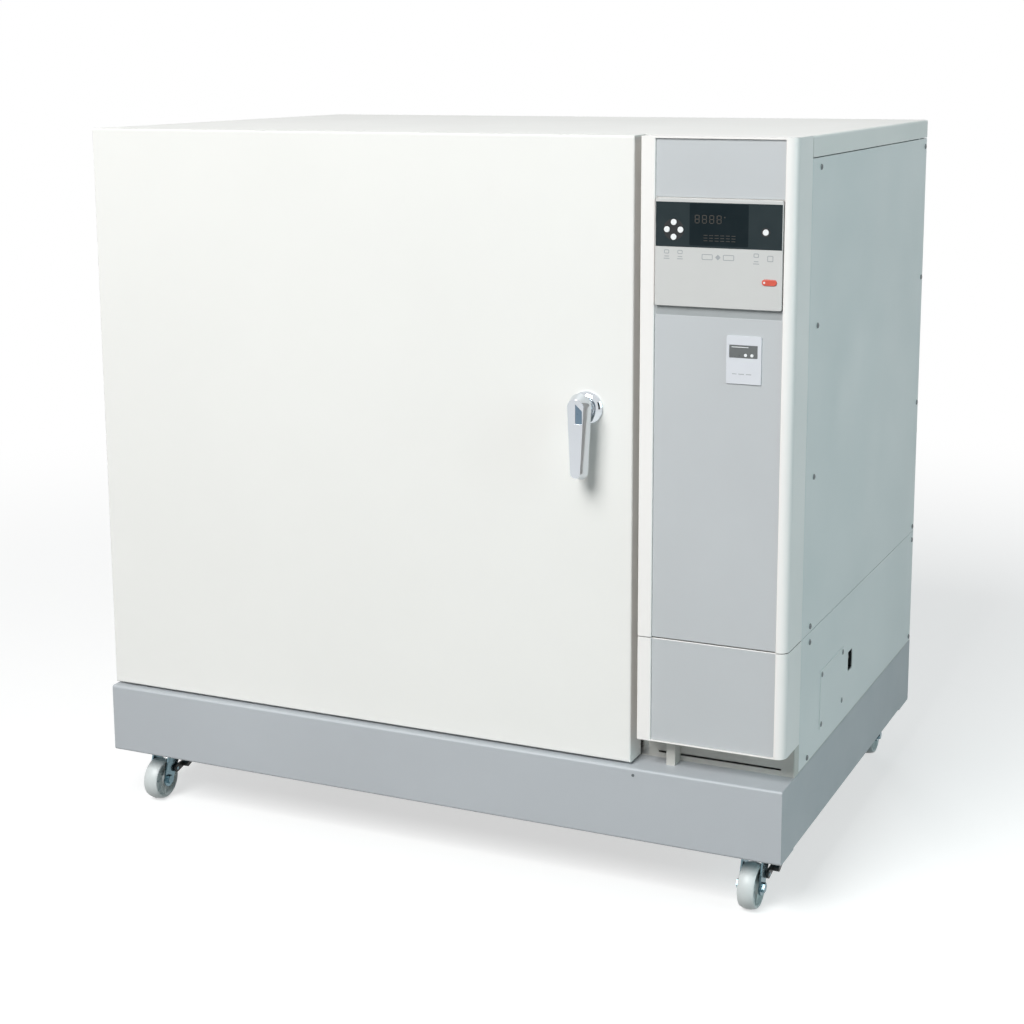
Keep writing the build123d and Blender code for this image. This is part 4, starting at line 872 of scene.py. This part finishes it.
@dataclass
class LatchHandle:
    """The plated lever on the door, with the collar, spindle and cam that turn with it.

    They are made lying on their backs, about the lever's axis and up from the back of its grip.
    The cam's two faces count from the plinth's front.
    """

    axis_x: float = 913
    axis_z: float = 570
    back_y: float = -18
    depth: float = 20
    lean: float = 6.1
    head_rise: float = 8
    head_radius: float = 19
    tip_radius: float = 14
    drop: float = 94
    ridge_fall: float = 2 / 19
    grip_edge: float = 1.1
    pocket_size: Pair = (10.5, 33)
    pocket_middle: Pair = (5.75, -0.5)
    pocket_corner: Pair = (11, 3)
    pocket_slant: Pair = (13, 5)
    pocket_floor: float = 18.2
    pocket_reach: float = 6
    reflection_depth: float = 0.5
    chamfer: float = 0.8
    collar_radius: float = 12
    collar_span: Pair = (-17.5, 1)
    groove_span: Pair = (-11, -8)
    groove_depth: float = 0.9
    spindle_radius: float = 8
    spindle_front: float = -17
    cam_length: float = 30
    cam_radii: Pair = (11, 8)
    cam_front: float = 70
    cam_back: float = 78

    def build(self) -> None:
        """Make the lever as one casting on its spindle, and a thin blue-grey sheet in its pocket
        that is painted dark reflection.
        """
        lever = join([self.grip(), self.collar(), self.spindle(), self.cam()])
        pocket_reflection = self.pocket(self.reflection_depth)
        for piece in (lever, pocket_reflection):
            put(piece, Facing.FRONT, spot(self.axis_x, self.back_y, self.axis_z))
        settle(lever, "door_lever_casting", CHROME, "lever", ("door_lever",))
        # The blue-grey sheet in the pocket paints the chrome's dark reflection there
        settle(pocket_reflection, "door_lever_painted_reflection", POCKET_PAINTED_REFLECTION, "lever")

    def grip(self) -> Piece:
        """Make the grip: leaning walls, a low ridge down its middle and a pocket in the head.

        Returns:
            The grip, with the lever's axis at the origin.
        """
        length = self.head_rise + self.drop
        grip = tapered_bar(length, self.head_radius, self.tip_radius, self.depth, self.lean, 48)
        edit(grip)
        for side in (-1, 1):
            slice_off((0, 0, self.depth), (side * self.ridge_fall, 0, 1))
        bpy.ops.object.mode_set(mode="OBJECT")
        put(grip, Facing.UP, Vector((0, self.head_rise * MM, 0)))
        carve(grip, self.pocket(self.pocket_reach))
        round_edges(grip, self.grip_edge, 3)
        return grip

    def pocket(self, depth: float) -> Piece:
        """Make the form of the head's pocket, right of the ridge, up from its floor.

        Args:
            depth: How far the form rises from the floor, in millimetres.

        Returns:
            The form.
        """
        middle = Vector((*self.pocket_middle, self.pocket_floor)) * MM
        tool = put(tablet(*self.pocket_size, depth), Facing.UP, middle)
        edit(tool)
        slice_off((*self.pocket_corner, 0), (*self.pocket_slant, 0))
        bpy.ops.object.mode_set(mode="OBJECT")
        return tool

    def collar(self) -> Piece:
        """Turn the collar behind the head, with a chamfered back and a groove round it.

        Returns:
            The collar, about the lever's axis.
        """
        radius, cut = self.collar_radius, self.chamfer
        floor = radius - self.groove_depth
        back, front = self.collar_span
        low, high = self.groove_span
        return turned(
            [
                (NEAR, back), (radius - cut, back), (radius, back + cut), (radius, low),
                (floor, low + cut), (floor, high - cut), (radius, high), (radius, front),
                (NEAR, front),
            ]
        )

    def spindle(self) -> Piece:
        """Turn the spindle that passes through the door.

        Returns:
            The spindle, about the lever's axis.
        """
        radius, cut, front = self.spindle_radius, self.chamfer, self.spindle_front
        back = self.back_y - self.cam_back
        outline = [(NEAR, back), (radius - cut, back), (radius, back + cut), (radius, front)]
        return turned([*outline, (NEAR, front)], 32)

    def cam(self) -> Piece:
        """Make the cam that runs behind the keeper.

        Returns:
            The cam, pointing along local Y.
        """
        cam = tapered_bar(self.cam_length, *self.cam_radii, self.cam_back - self.cam_front)
        put(cam, Facing.UP, Vector((0, 0, (self.back_y - self.cam_back) * MM)), 180)
        round_edges(cam, self.chamfer)
        return cam


@dataclass
class Casters:
    """Four swivel casters with moulded wheels; the front ones have a brake pedal.

    A wheel is made lying on its side. A pedal is made as seen from the oven's right, its places
    counted back from the kingpin and up from the floor.
    """

    inset_x: float = 61
    inset_y: float = 78
    trail: float = 28
    floor: float = -220
    axle: float = 37.5
    rib_count: int = 8
    rib_inner: float = 12
    rib_outer: float = 30
    rib_width: float = 1.6
    rib_depth: float = 3.4
    rib_base: float = 6.2
    rib_edge: float = 0.5
    pedal_side: float = 19
    pivot: Pair = (-8, 52)
    pivot_hole: float = 3.05
    knee: Pair = (12, 55)
    toe: Pair = (32, 61)
    arm_radii: Pair = (7, 5)
    arm_depth: float = 4
    foot_radii: Pair = (5, 3)
    foot_depth: float = 15
    foot_edge: float = 1.4

    def build(self) -> None:
        """Make one wheel and one pedal, and copy them to their places."""
        wheel = self.wheel()
        pedal = self.pedal()
        right, rear = WIDTH - self.inset_x, DEPTH - self.inset_y
        for name, x, y, way in (
            ("front_left", self.inset_x, self.inset_y, 1),
            ("front_right", right, self.inset_y, 1),
            ("rear_left", self.inset_x, rear, -1),
            ("rear_right", right, rear, -1),
        ):
            hub = spot(x, y - way * self.trail, self.floor + self.axle)
            made = put(copy_of(wheel), Facing.RIGHT, hub)
            settle(
                made, f"wheel_moulding_{name}", WHEEL_NYLON, f"wheel_{name}",
                (f"wheel_{name}",),
            )
            if way == 1:
                foot = spot(x + self.pedal_side, y, self.floor)
                made = put(copy_of(pedal), Facing.RIGHT, foot)
                settle(
                    made, f"brake_pedal_lever_{name}", PEDAL_PAINT, f"brake_pedal_{name}",
                    (f"brake_pedal_{name}",),
                )
        for master in (wheel, pedal):
            bpy.data.objects.remove(master)

    def wheel(self) -> Piece:
        """Turn the wheel, with a crowned tread, a recessed disc on both sides, and ribs in it.

        Returns:
            The wheel, with its middle at the origin.
        """
        half = [
            (14.5, 5.05), (14.5, 10.2), (13.9, 10.9), (7.6, 12.9), (6.6, 14), (6.6, 27.8),
            (7.4, 28.9), (12.9, 30.4), (13.5, 31.2), (13.5, 33.3), (12.6, 34.4), (9.5, 35.7),
            (5, 36.9), (0, self.axle),
        ]
        whole = [(r, -z) for z, r in half] + [(r, z) for z, r in half[-2::-1]]
        whole.append(whole[0])
        parts = [turned(whole, 72)]
        middle = (self.rib_inner + self.rib_outer) / 2
        for side in (0, math.pi):
            for step in range(self.rib_count):
                rib = tablet(self.rib_width, self.rib_outer - self.rib_inner, self.rib_depth)
                round_edges(rib, self.rib_edge)
                put(rib, Facing.UP, Vector((0, middle, self.rib_base)) * MM)
                put(rib, Facing.UP, Vector(), step * 360 / self.rib_count)
                rib.data.transform(Matrix.Rotation(side, 4, "Y"))
                parts.append(rib)
        return join(parts)

    def pedal(self) -> Piece:
        """Make the pedal: a flat arm on the pivot and a thick tip to step on.

        Returns:
            The pedal.
        """
        arm = self.bar(self.pivot, self.knee, self.arm_radii, self.arm_depth)
        eye = disc(self.pivot_hole, 2 * self.arm_depth)
        carve(arm, put(eye, Facing.UP, Vector((*self.pivot, -self.arm_depth / 2)) * MM))
        foot = self.bar(self.knee, self.toe, self.foot_radii, self.foot_depth)
        round_edges(foot, self.foot_edge, 3)
        return join([arm, foot])

    @staticmethod
    def bar(start: Pair, end: Pair, radii: Pair, depth: float) -> Piece:
        """Make a round-ended bar between two places on the local XY plane.

        Args:
            start: The middle of the bar's first end, in millimetres.
            end: The middle of its other end.
            radii: The radii of the two ends.
            depth: How far the bar rises along Z.

        Returns:
            The bar.
        """
        across, up = end[0] - start[0], end[1] - start[1]
        bar = tapered_bar(math.hypot(across, up), *radii, depth)
        turn = math.degrees(math.atan2(across, -up))
        return put(bar, Facing.UP, Vector((*start, 0)) * MM, turn)


@dataclass
class Fasteners:
    """Pan-head screws on the casing and countersunk screws in the hinge leaves.

    Heads are given by radius and height. The turns keep their crosses from all standing alike.
    """

    casing_head: Pair = (4.5, 2)
    side_ys: Pair = (133, 832)
    side_zs: tuple[float, ...] = (9.5, 200, 226, 465, 700, 939)
    side_turn: float = 17
    rear_xs: tuple[float, ...] = (40, 500, 960, 1200)
    rear_zs: Pair = (30, 930)
    rear_middle: float = 480
    rear_turn: float = 23
    cover_head: Pair = (4.5, 1)
    cover_sheet: float = 1
    cover_ys: Pair = (210, 337)
    cover_zs: Pair = (40, 124)
    cover_turn: float = 11
    plinth_head: Pair = (2.5, 1)
    plinth_place: Triple = (997, 0, -11)
    plinth_turn: float = 30
    leaf_head: Pair = (2.95, 1.1)
    leaf_x: float = -1.8
    leaf_ys: Pair = (95, 37)
    leaf_pitch: float = 30
    leaf_turn: float = 40
    hinge_zs: Pair = (150, 830)

    def build(self) -> None:
        """Model each head once and copy it to every screw's place."""
        self.casing_screws()
        self.hinge_screws()

    def casing_screws(self) -> None:
        """Set the screws of the casing, the service cover and the plinth."""
        head, flat, small = (
            cross_head(*size) for size in (self.casing_head, self.cover_head, self.plinth_head)
        )
        heads = []
        for y in self.side_ys:
            for z in self.side_zs:
                turn = self.side_turn * len(heads)
                heads.append(put(copy_of(head), Facing.RIGHT, spot(WIDTH, y, z), turn))
                heads.append(put(copy_of(head), Facing.LEFT, spot(0, y, z), turn))
        for y in self.cover_ys:
            for z in self.cover_zs:
                place = spot(WIDTH + self.cover_sheet, y, z)
                turn = self.cover_turn * len(heads)
                heads.append(put(copy_of(flat), Facing.RIGHT, place, turn))
        rear = [(x, z) for x in self.rear_xs for z in self.rear_zs]
        rear += [(x, self.rear_middle) for x in (self.rear_xs[0], self.rear_xs[-1])]
        for x, z in rear:
            turn = self.rear_turn * len(heads)
            heads.append(put(copy_of(head), Facing.BACK, spot(x, DEPTH, z), turn))
        place = spot(*self.plinth_place)
        heads.append(put(copy_of(small), Facing.FRONT, place, self.plinth_turn))
        settle(
            join(heads), "casing_screw_heads", SCREW_STEEL, "cabinet",
            ("casing_screws",),
        )
        for master in (head, flat, small):
            bpy.data.objects.remove(master)

    def hinge_screws(self) -> None:
        """Set three screws in each leaf of both hinges."""
        head = cross_head(*self.leaf_head)
        for body, y in zip(("cabinet", "door"), self.leaf_ys):
            screws = []
            for middle in self.hinge_zs:
                for step in (-1, 0, 1):
                    place = spot(self.leaf_x, y, middle + step * self.leaf_pitch)
                    turn = self.leaf_turn * step
                    screws.append(put(copy_of(head), Facing.LEFT, place, turn))
            settle(join(screws), f"{body}_hinge_screws", SCREW_STEEL, body)
        bpy.data.objects.remove(head)


@dataclass
class ControlFace:
    """What is printed and mounted on the control unit: window, digits, key pad and marks.

    Spans run from left to right and from low to high. Places are x and z on the unit's front, and
    a small mark is given by its x and its span in z.
    """

    front: float = 5.5
    print_depth: float = 0.05
    window_x: Pair = (1077.9, 1168.7)
    window_z: Pair = (827.5, 889.5)
    window_corner: float = 2
    digit_left: float = 1086
    digit_base: float = 860.2
    digit_size: Pair = (7.4, 12.6)
    digit_line: float = 1.3
    digit_gap: float = 0.6
    digit_pitch: float = 11.3
    digit_count: int = 4
    unit_z: Pair = (869, 871)
    unit_corner: float = 0.9
    cell_left: float = 1100
    cell_base: float = 834.5
    cell_width: float = 6
    cell_line: float = 1
    cell_row: float = 4
    cell_rows: int = 3
    cell_pitch: float = 8.6
    cell_count: int = 6
    pad: Pair = (1053.2, 850)
    pad_radius: float = 16
    key_hole: float = 4.75
    key_steps: tuple[Pair, ...] = ((0, 11), (0, -11), (-10.6, 0), (10.6, 0))
    start_key: Pair = (1194.9, 850)
    ring_width: float = 2.2
    power_mark: Triple = (1194.5, 4.0, 777)
    power_mark_radius: float = 1.5
    mark_line: float = 1.1
    mark_corner: float = 1.6
    small_marks: tuple[Triple, ...] = ((1042.5, 805, 821), (1063.6, 805, 821), (1181.2, 802, 820))
    small_frame: Pair = (8, 6)
    small_frame_drop: float = 4
    dash_half: float = 4.5
    dash_line: float = 1.2
    dash_row: float = 3.4
    square_mark: Pair = (1202.5, 812)
    square_size: float = 9
    wide_marks: tuple[Pair, ...] = ((1106, 811), (1139, 811))
    wide_frame: Pair = (17, 8.5)
    link_mark: Pair = (1122.5, 811)
    link_size: float = 6
    groove_back: float = 11.5
    band_x: Pair = (1024.5, 1220.3)
    band_z: Pair = (721.8, 735.6)
    band_corner: float = 1.5
    lip_x: Pair = (1026, 1218.8)
    lip_z: Pair = (722.2, 723.6)
    lip_corner: float = 0.6

    def build(self) -> None:
        """Make every piece of the face."""
        self.window_plate()
        self.digits()
        self.key_pad()
        self.marks()
        self.paint_groove_shade()
        dot = disc(self.power_mark_radius, self.print_depth, 20)
        put(dot, Facing.FRONT, spot(*self.power_mark))
        settle(dot, "power_key_mark", KEY_CAP, "power_key")

    def plate(self, x: Pair, z: Pair, y: float, corner: float = 0) -> Piece:
        """Make a thin printed plate between two x and two z places, with its back at y."""
        made = tablet(x[1] - x[0], z[1] - z[0], self.print_depth, corner)
        return put(made, Facing.FRONT, spot(sum(x) / 2, y, sum(z) / 2))

    def window_plate(self) -> None:
        """Make the darker window in the strip."""
        made = self.plate(self.window_x, self.window_z, self.front, self.window_corner)
        settle(made, "display_window", WINDOW_ACRYLIC, "cabinet")

    def paint_groove_shade(self) -> None:
        """Line the groove under the control unit with painted shade: a darker grey sheet, with a
        raised lip at its lower edge.
        """
        band = self.plate(self.band_x, self.band_z, self.groove_back, self.band_corner)
        lip_back = self.groove_back - self.print_depth
        lip = self.plate(self.lip_x, self.lip_z, lip_back, self.lip_corner)
        # Band and lip are both painted shade, darker than the grey panels round them
        settle(join([band, lip]), "control_groove_painted_shade", GROOVE_PAINTED_SHADE, "cabinet")

    def digits(self) -> None:
        """Make the unlit segments of the digits and the character cells below them."""
        width, height = self.digit_size
        bar, y = self.digit_line, self.front - self.print_depth
        segments = []
        for number in range(self.digit_count):
            left = self.digit_left + number * self.digit_pitch
            for level in (0, 0.5, 1):
                z = self.digit_base + bar / 2 + level * (height - bar)
                span = (z - bar / 2, z + bar / 2)
                segments.append(self.plate((left + bar, left + width - bar), span, y))
            for level in (0, 1):
                low = self.digit_base + bar + level * (height - bar) / 2
                span = (low, low + (height - bar) / 2 - bar * self.digit_gap)
                for x in (left, left + width - bar):
                    segments.append(self.plate((x, x + bar), span, y))
        unit = self.digit_left + self.digit_count * self.digit_pitch
        across = (unit, unit + self.unit_z[1] - self.unit_z[0])
        segments.append(self.plate(across, self.unit_z, y, self.unit_corner))
        for number in range(self.cell_count):
            left = self.cell_left + number * self.cell_pitch
            for row in range(self.cell_rows):
                z = self.cell_base + row * self.cell_row
                across = (left, left + self.cell_width)
                segments.append(self.plate(across, (z, z + self.cell_line), y))
        settle(join(segments), "display_segments", SEGMENT_TINT, "cabinet")

    def key_pad(self) -> None:
        """Make the round pad under the four arrow keys and the ring round the start key."""
        pad = disc(self.pad_radius, self.print_depth, 64)
        for step in self.key_steps:
            carve(pad, through(disc(self.key_hole, TOOL_DEPTH), *step))
        put(pad, Facing.FRONT, self.on_face(self.pad))
        settle(pad, "arrow_key_pad", PAD_BLACK, "cabinet")
        ring = disc(self.key_hole + self.ring_width, self.print_depth, 48)
        carve(ring, through(disc(self.key_hole, TOOL_DEPTH)))
        put(ring, Facing.FRONT, self.on_face(self.start_key))
        settle(ring, "start_key_ring", PAD_BLACK, "cabinet")

    def marks(self) -> None:
        """Print plain pictograms under the strip."""
        prints = []
        for x, low, high in self.small_marks:
            prints.append(self.frame_mark((x, high - self.small_frame_drop), self.small_frame))
            for row in range(2):
                z = low + self.dash_line + row * self.dash_row
                across = (x - self.dash_half + row, x + self.dash_half - row)
                prints.append(self.plate(across, (z, z + self.dash_line), self.front))
        prints.append(self.frame_mark(self.square_mark, (self.square_size, self.square_size)))
        for place in self.wide_marks:
            prints.append(self.frame_mark(place, self.wide_frame))
        link = tablet(self.link_size, self.link_size, self.print_depth)
        prints.append(put(link, Facing.FRONT, self.on_face(self.link_mark), 45))
        settle(join(prints), "control_marks", PRINT_GREY, "cabinet")

    def frame_mark(self, place: Pair, size: Pair) -> Piece:
        """Print a rounded outline about a place.

        Args:
            place: The outline's middle, as x and z on the unit's front.
            size: Its width and height in millimetres.

        Returns:
            The outline, in its place.
        """
        mark = tablet(*size, self.print_depth, self.mark_corner)
        width, height = (side - 2 * self.mark_line for side in size)
        carve(mark, through(tablet(width, height, TOOL_DEPTH, self.mark_corner / 2)))
        return put(mark, Facing.FRONT, self.on_face(place))

    def on_face(self, place: Pair) -> Vector:
        """Turn an x and a z on the unit's front to the shared frame."""
        return spot(place[0], self.front, place[1])


@dataclass
class Protector:
    """The overheat protector's window, which lies back from its plate, and its fine marks.

    Sizes are width, height and depth.
    """

    front: float = 8
    window_size: Triple = (43.4, 19, 0.3)
    window_corner: float = 1
    window_place: Triple = (1163.3, 8.6, 672.7)
    key_xs: Pair = (1166.7, 1176.6)
    key_z: float = 667.5
    key_hole: float = 2.6
    hole_back: float = 11
    hole_depth: float = 6
    mark_size: Triple = (26, 1, 0.15)
    mark_corner: float = 0.3
    mark_place: Triple = (1158, 8.3, 679.3)
    dashes: tuple[Pair, ...] = ((1150, 7), (1160.5, 9), (1172, 8))
    dash_z: float = 639
    dash_line: float = 1.1
    dash_depth: float = 0.06

    def build(self) -> None:
        """Make the window with its two key holes, the mark on it and the dashes below."""
        window = tablet(*self.window_size, self.window_corner)
        put(window, Facing.FRONT, spot(*self.window_place))
        for x in self.key_xs:
            hole = disc(self.key_hole, self.hole_depth)
            carve(window, put(hole, Facing.FRONT, spot(x, self.hole_back, self.key_z)))
        settle(window, "protector_window", PROTECTOR_WINDOW, "cabinet")
        mark = tablet(*self.mark_size, self.mark_corner)
        put(mark, Facing.FRONT, spot(*self.mark_place))
        settle(mark, "protector_window_mark", KEY_CAP, "cabinet")
        dashes = []
        for x, width in self.dashes:
            dash = tablet(width, self.dash_line, self.dash_depth)
            dashes.append(put(dash, Facing.FRONT, spot(x, self.front, self.dash_z)))
        settle(join(dashes), "protector_dashes", PRINT_GREY, "cabinet")


@dataclass
class RearFittings:
    """Pressed hoods over the louvre slots and the gland's grip ribs."""

    centres: tuple[Pair, ...] = ((1110, 200), (1110, 800))
    slots: int = 8
    pitch: float = 18
    drop: float = 3
    half_length: float = 68
    rise: float = 9
    reach: float = 7
    sheet: float = 1
    gland: Triple = (1150, DEPTH, 70)
    rib_count: int = 18
    rib_size: Triple = (1.8, 1.4, 9)
    rib_edge: float = 0.5
    rib_middle: Triple = (0, 15.1, 9)

    def build(self) -> None:
        """Press the hoods and mould the ribs."""
        self.hoods()
        self.gland_ribs()

    def hoods(self) -> None:
        """Press one hood and copy it over every slot."""
        hood = self.hood()
        hoods = []
        for x, middle in self.centres:
            for row in range(self.slots):
                z = middle + (row - (self.slots - 1) / 2) * self.pitch
                hoods.append(put(copy_of(hood), Facing.BACK, spot(x, DEPTH, z - self.drop)))
        bpy.data.objects.remove(hood)
        settle(join(hoods), "rear_louvre_hoods", SHADED_CASING_ENAMEL, "cabinet")

    def gland_ribs(self) -> None:
        """Set the ribs round the gland's nut."""
        rib = tablet(*self.rib_size)
        round_edges(rib, self.rib_edge)
        put(rib, Facing.UP, Vector(self.rib_middle) * MM)
        ribs = []
        for step in range(self.rib_count):
            ribs.append(put(copy_of(rib), Facing.UP, Vector(), step * 360 / self.rib_count))
        bpy.data.objects.remove(rib)
        made = put(join(ribs), Facing.BACK, spot(*self.gland))
        settle(made, "cable_gland_ribs", GLAND_NYLON, "cabinet")

    def hood(self) -> Piece:
        """Shape a hood from a flattened ball: cut off below and behind, then given its wall.

        Returns:
            The hood, open below and behind.
        """
        rest_tools()
        bpy.ops.mesh.primitive_uv_sphere_add(segments=32, ring_count=16, radius=MM)
        hood = bpy.context.active_object
        hood.scale = (self.half_length, self.rise, self.reach)
        bpy.ops.object.transform_apply(location=False, rotation=False, scale=True)
        edit(hood)
        for way in ((0, -1, 0), (0, 0, -1)):
            slice_off((0, 0, 0), way, fill=False)
        bpy.ops.object.mode_set(mode="OBJECT")
        apply_modifier(hood, "SOLIDIFY", thickness=self.sheet * MM, offset=-1)
        return hood


# Studio: sizes and places are metres in the shared frame

@dataclass(frozen=True)
class Lamp:
    """A square area lamp that looks at the oven."""

    name: str
    colour: str
    place: Triple
    size: float
    power: float
    aim: Triple = (0.0, 0.0, 0.6)

    def hang(self) -> None:
        """Hang the lamp and turn it to its aim."""
        data = bpy.data.lights.new(self.name, "AREA")
        data.shape = "SQUARE"
        data.color = linear(self.colour)[:3]
        data.size = self.size
        data.energy = self.power
        lamp = bpy.data.objects.new(self.name, data)
        bpy.context.scene.collection.objects.link(lamp)
        lamp.location = self.place
        way = Vector(self.aim) - Vector(self.place)
        lamp.rotation_euler = way.to_track_quat("-Z", "Y").to_euler()


@dataclass(frozen=True)
class Card:
    """A dark card that only polished metal shows."""

    name: str
    place: Triple
    width: float
    height: float
    aim: Triple = (0.3, -0.4, 0.8)

    def stand(self, paint: bpy.types.Material) -> None:
        """Stand the card up, hidden from everything but reflections.

        Args:
            paint: The cards' material.
        """
        rest_tools()
        bpy.ops.mesh.primitive_plane_add(size=1)
        card = bpy.context.active_object
        card.name = self.name
        card.scale = (self.width, self.height, 1)
        card.location = self.place
        way = Vector(self.aim) - Vector(self.place)
        card.rotation_euler = way.to_track_quat("Z", "Y").to_euler()
        card.data.materials.append(paint)
        card.visible_camera = False
        card.visible_diffuse = False
        card.visible_shadow = False


@dataclass
class Studio:
    """A pale floor, large lamps, soft room light and the camera at the photographed angle."""

    floor_size: float = 40.0
    floor_colour: str = "#BFBFBE"
    bounce_colour: str = "#9A9A99"
    floor_glow: float = 0.6
    fade_start: float = 1.3
    fade_end: float = 3.6
    white_strength: float = 1.0
    room_colour: str = "#E6F0F4"
    room_fill: float = 0.18
    lamps: tuple[Lamp, ...] = (
        Lamp("key_lamp", "#FFFFFF", (-0.6, -4.9, 4.8), 3.0, 385.0),
        Lamp("side_lamp", "#CCF2F7", (4.7, -1.2, 1.9), 2.4, 60.0),
        Lamp("back_lamp", "#FFFFFF", (-2.8, 5.0, 0.5), 1.2, 110.0),
    )
    cards: tuple[Card, ...] = (
        Card("studio_card_1", (-1.4, -5.8, 0.8), 3.0, 1.5),
        Card("studio_card_2", (3.4, -3.4, 1.2), 1.6, 2.6),
    )
    card_colour: str = "#20262B"
    camera_place: Triple = (1.3933, -3.0757, 1.3207)
    camera_yaw: float = 24.719
    camera_pitch: float = 10.53
    camera_roll: float = -0.273
    lens: float = 66.45
    shift: float = -0.1

    def build(self) -> None:
        """Make the floor, the world, the lamps, the dark cards and the camera."""
        self.floor()
        self.world()
        for lamp in self.lamps:
            lamp.hang()
        self.dark_cards()
        self.camera()

    def floor(self) -> None:
        """Lay a floor that keeps the shadow near the object and turns white further out.

        The camera sees it lighter than the light that it throws back on the object.
        """
        rest_tools()
        bpy.ops.mesh.primitive_plane_add(size=self.floor_size)
        floor = bpy.context.active_object
        floor.name = "studio_floor"
        made = bpy.data.materials.new("studio_floor_paint")
        made.use_nodes = True
        tree = made.node_tree
        tree.nodes.clear()
        place = add_node(tree, "ShaderNodeTexCoord").outputs["Object"]
        distance = add_node(
            tree, "ShaderNodeVectorMath", {"operation": "LENGTH"}, {"Vector": place}
        )
        fade = add_node(
            tree,
            "ShaderNodeMapRange",
            {
                "From Min": self.fade_start,
                "From Max": self.fade_end,
                "interpolation_type": "SMOOTHSTEP",
            },
            {"Value": distance.outputs["Value"]},
        )
        lit = add_node(tree, "ShaderNodeBsdfDiffuse", {"Color": linear(self.floor_colour)})
        glow = add_node(tree, "ShaderNodeEmission", {"Strength": self.floor_glow})
        near = add_node(
            tree, "ShaderNodeAddShader", links={0: lit.outputs["BSDF"], 1: glow.outputs["Emission"]}
        )
        far = add_node(tree, "ShaderNodeEmission", {"Strength": self.white_strength})
        shown = add_node(
            tree,
            "ShaderNodeMixShader",
            links={
                0: fade.outputs["Result"],
                1: near.outputs["Shader"],
                2: far.outputs["Emission"],
            },
        )
        bounce = add_node(tree, "ShaderNodeBsdfDiffuse", {"Color": linear(self.bounce_colour)})
        seen = any_ray(tree, "Is Camera Ray", "Is Glossy Ray")
        mixed = add_node(
            tree,
            "ShaderNodeMixShader",
            links={0: seen, 1: bounce.outputs["BSDF"], 2: shown.outputs["Shader"]},
        )
        add_node(tree, "ShaderNodeOutputMaterial", links={"Surface": mixed.outputs["Shader"]})
        floor.data.materials.append(made)

    def world(self) -> None:
        """Fill the room with soft light, and show white to the camera, in gloss and glass."""
        world = bpy.data.worlds.new("studio_room")
        bpy.context.scene.world = world
        world.use_nodes = True
        tree = world.node_tree
        tree.nodes.clear()
        fill = {"Color": linear(self.room_colour), "Strength": self.room_fill}
        white = {"Color": linear("#FFFFFF"), "Strength": self.white_strength}
        room, backdrop = (
            add_node(tree, "ShaderNodeBackground", look).outputs["Background"]
            for look in (fill, white)
        )
        seen = any_ray(tree, "Is Camera Ray", "Is Glossy Ray", "Is Transmission Ray")
        mixed = add_node(tree, "ShaderNodeMixShader", links={0: seen, 1: room, 2: backdrop})
        add_node(tree, "ShaderNodeOutputWorld", links={"Surface": mixed.outputs["Shader"]})

    def dark_cards(self) -> None:
        """Stand dark cards in front, so that chrome has dark bands."""
        made = bpy.data.materials.new("studio_card_black")
        made.use_nodes = True
        shader = made.node_tree.nodes["Principled BSDF"]
        shader.inputs["Base Color"].default_value = linear(self.card_colour)
        shader.inputs["Roughness"].default_value = 1.0
        for card in self.cards:
            card.stand(made)

    def camera(self) -> None:
        """Set the camera where the photograph was taken from, tilted down."""
        data = bpy.data.cameras.new("camera")
        data.lens = self.lens
        data.shift_y = self.shift
        camera = bpy.data.objects.new("camera", data)
        bpy.context.scene.collection.objects.link(camera)
        turn = (
            Matrix.Rotation(math.radians(self.camera_yaw), 4, "Z")
            @ Matrix.Rotation(math.radians(90 - self.camera_pitch), 4, "X")
            @ Matrix.Rotation(math.radians(self.camera_roll), 4, "Z")
        )
        camera.matrix_world = Matrix.Translation(self.camera_place) @ turn
        bpy.context.scene.camera = camera


def main() -> None:
    """Dress the solids, build the fine pieces and set the studio."""
    logging.basicConfig(level=logging.INFO, format="%(name)s: %(message)s")
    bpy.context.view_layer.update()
    dress_nodes()
    for assembly in (
        LatchHandle(), Casters(), Fasteners(), ControlFace(), Protector(), RearFittings(),
    ):
        assembly.build()
    rest_tools()
    Studio().build()
    bpy.context.scene.view_settings.view_transform = "Standard"
    bpy.context.view_layer.update()


if __name__ == "__main__":
    main()
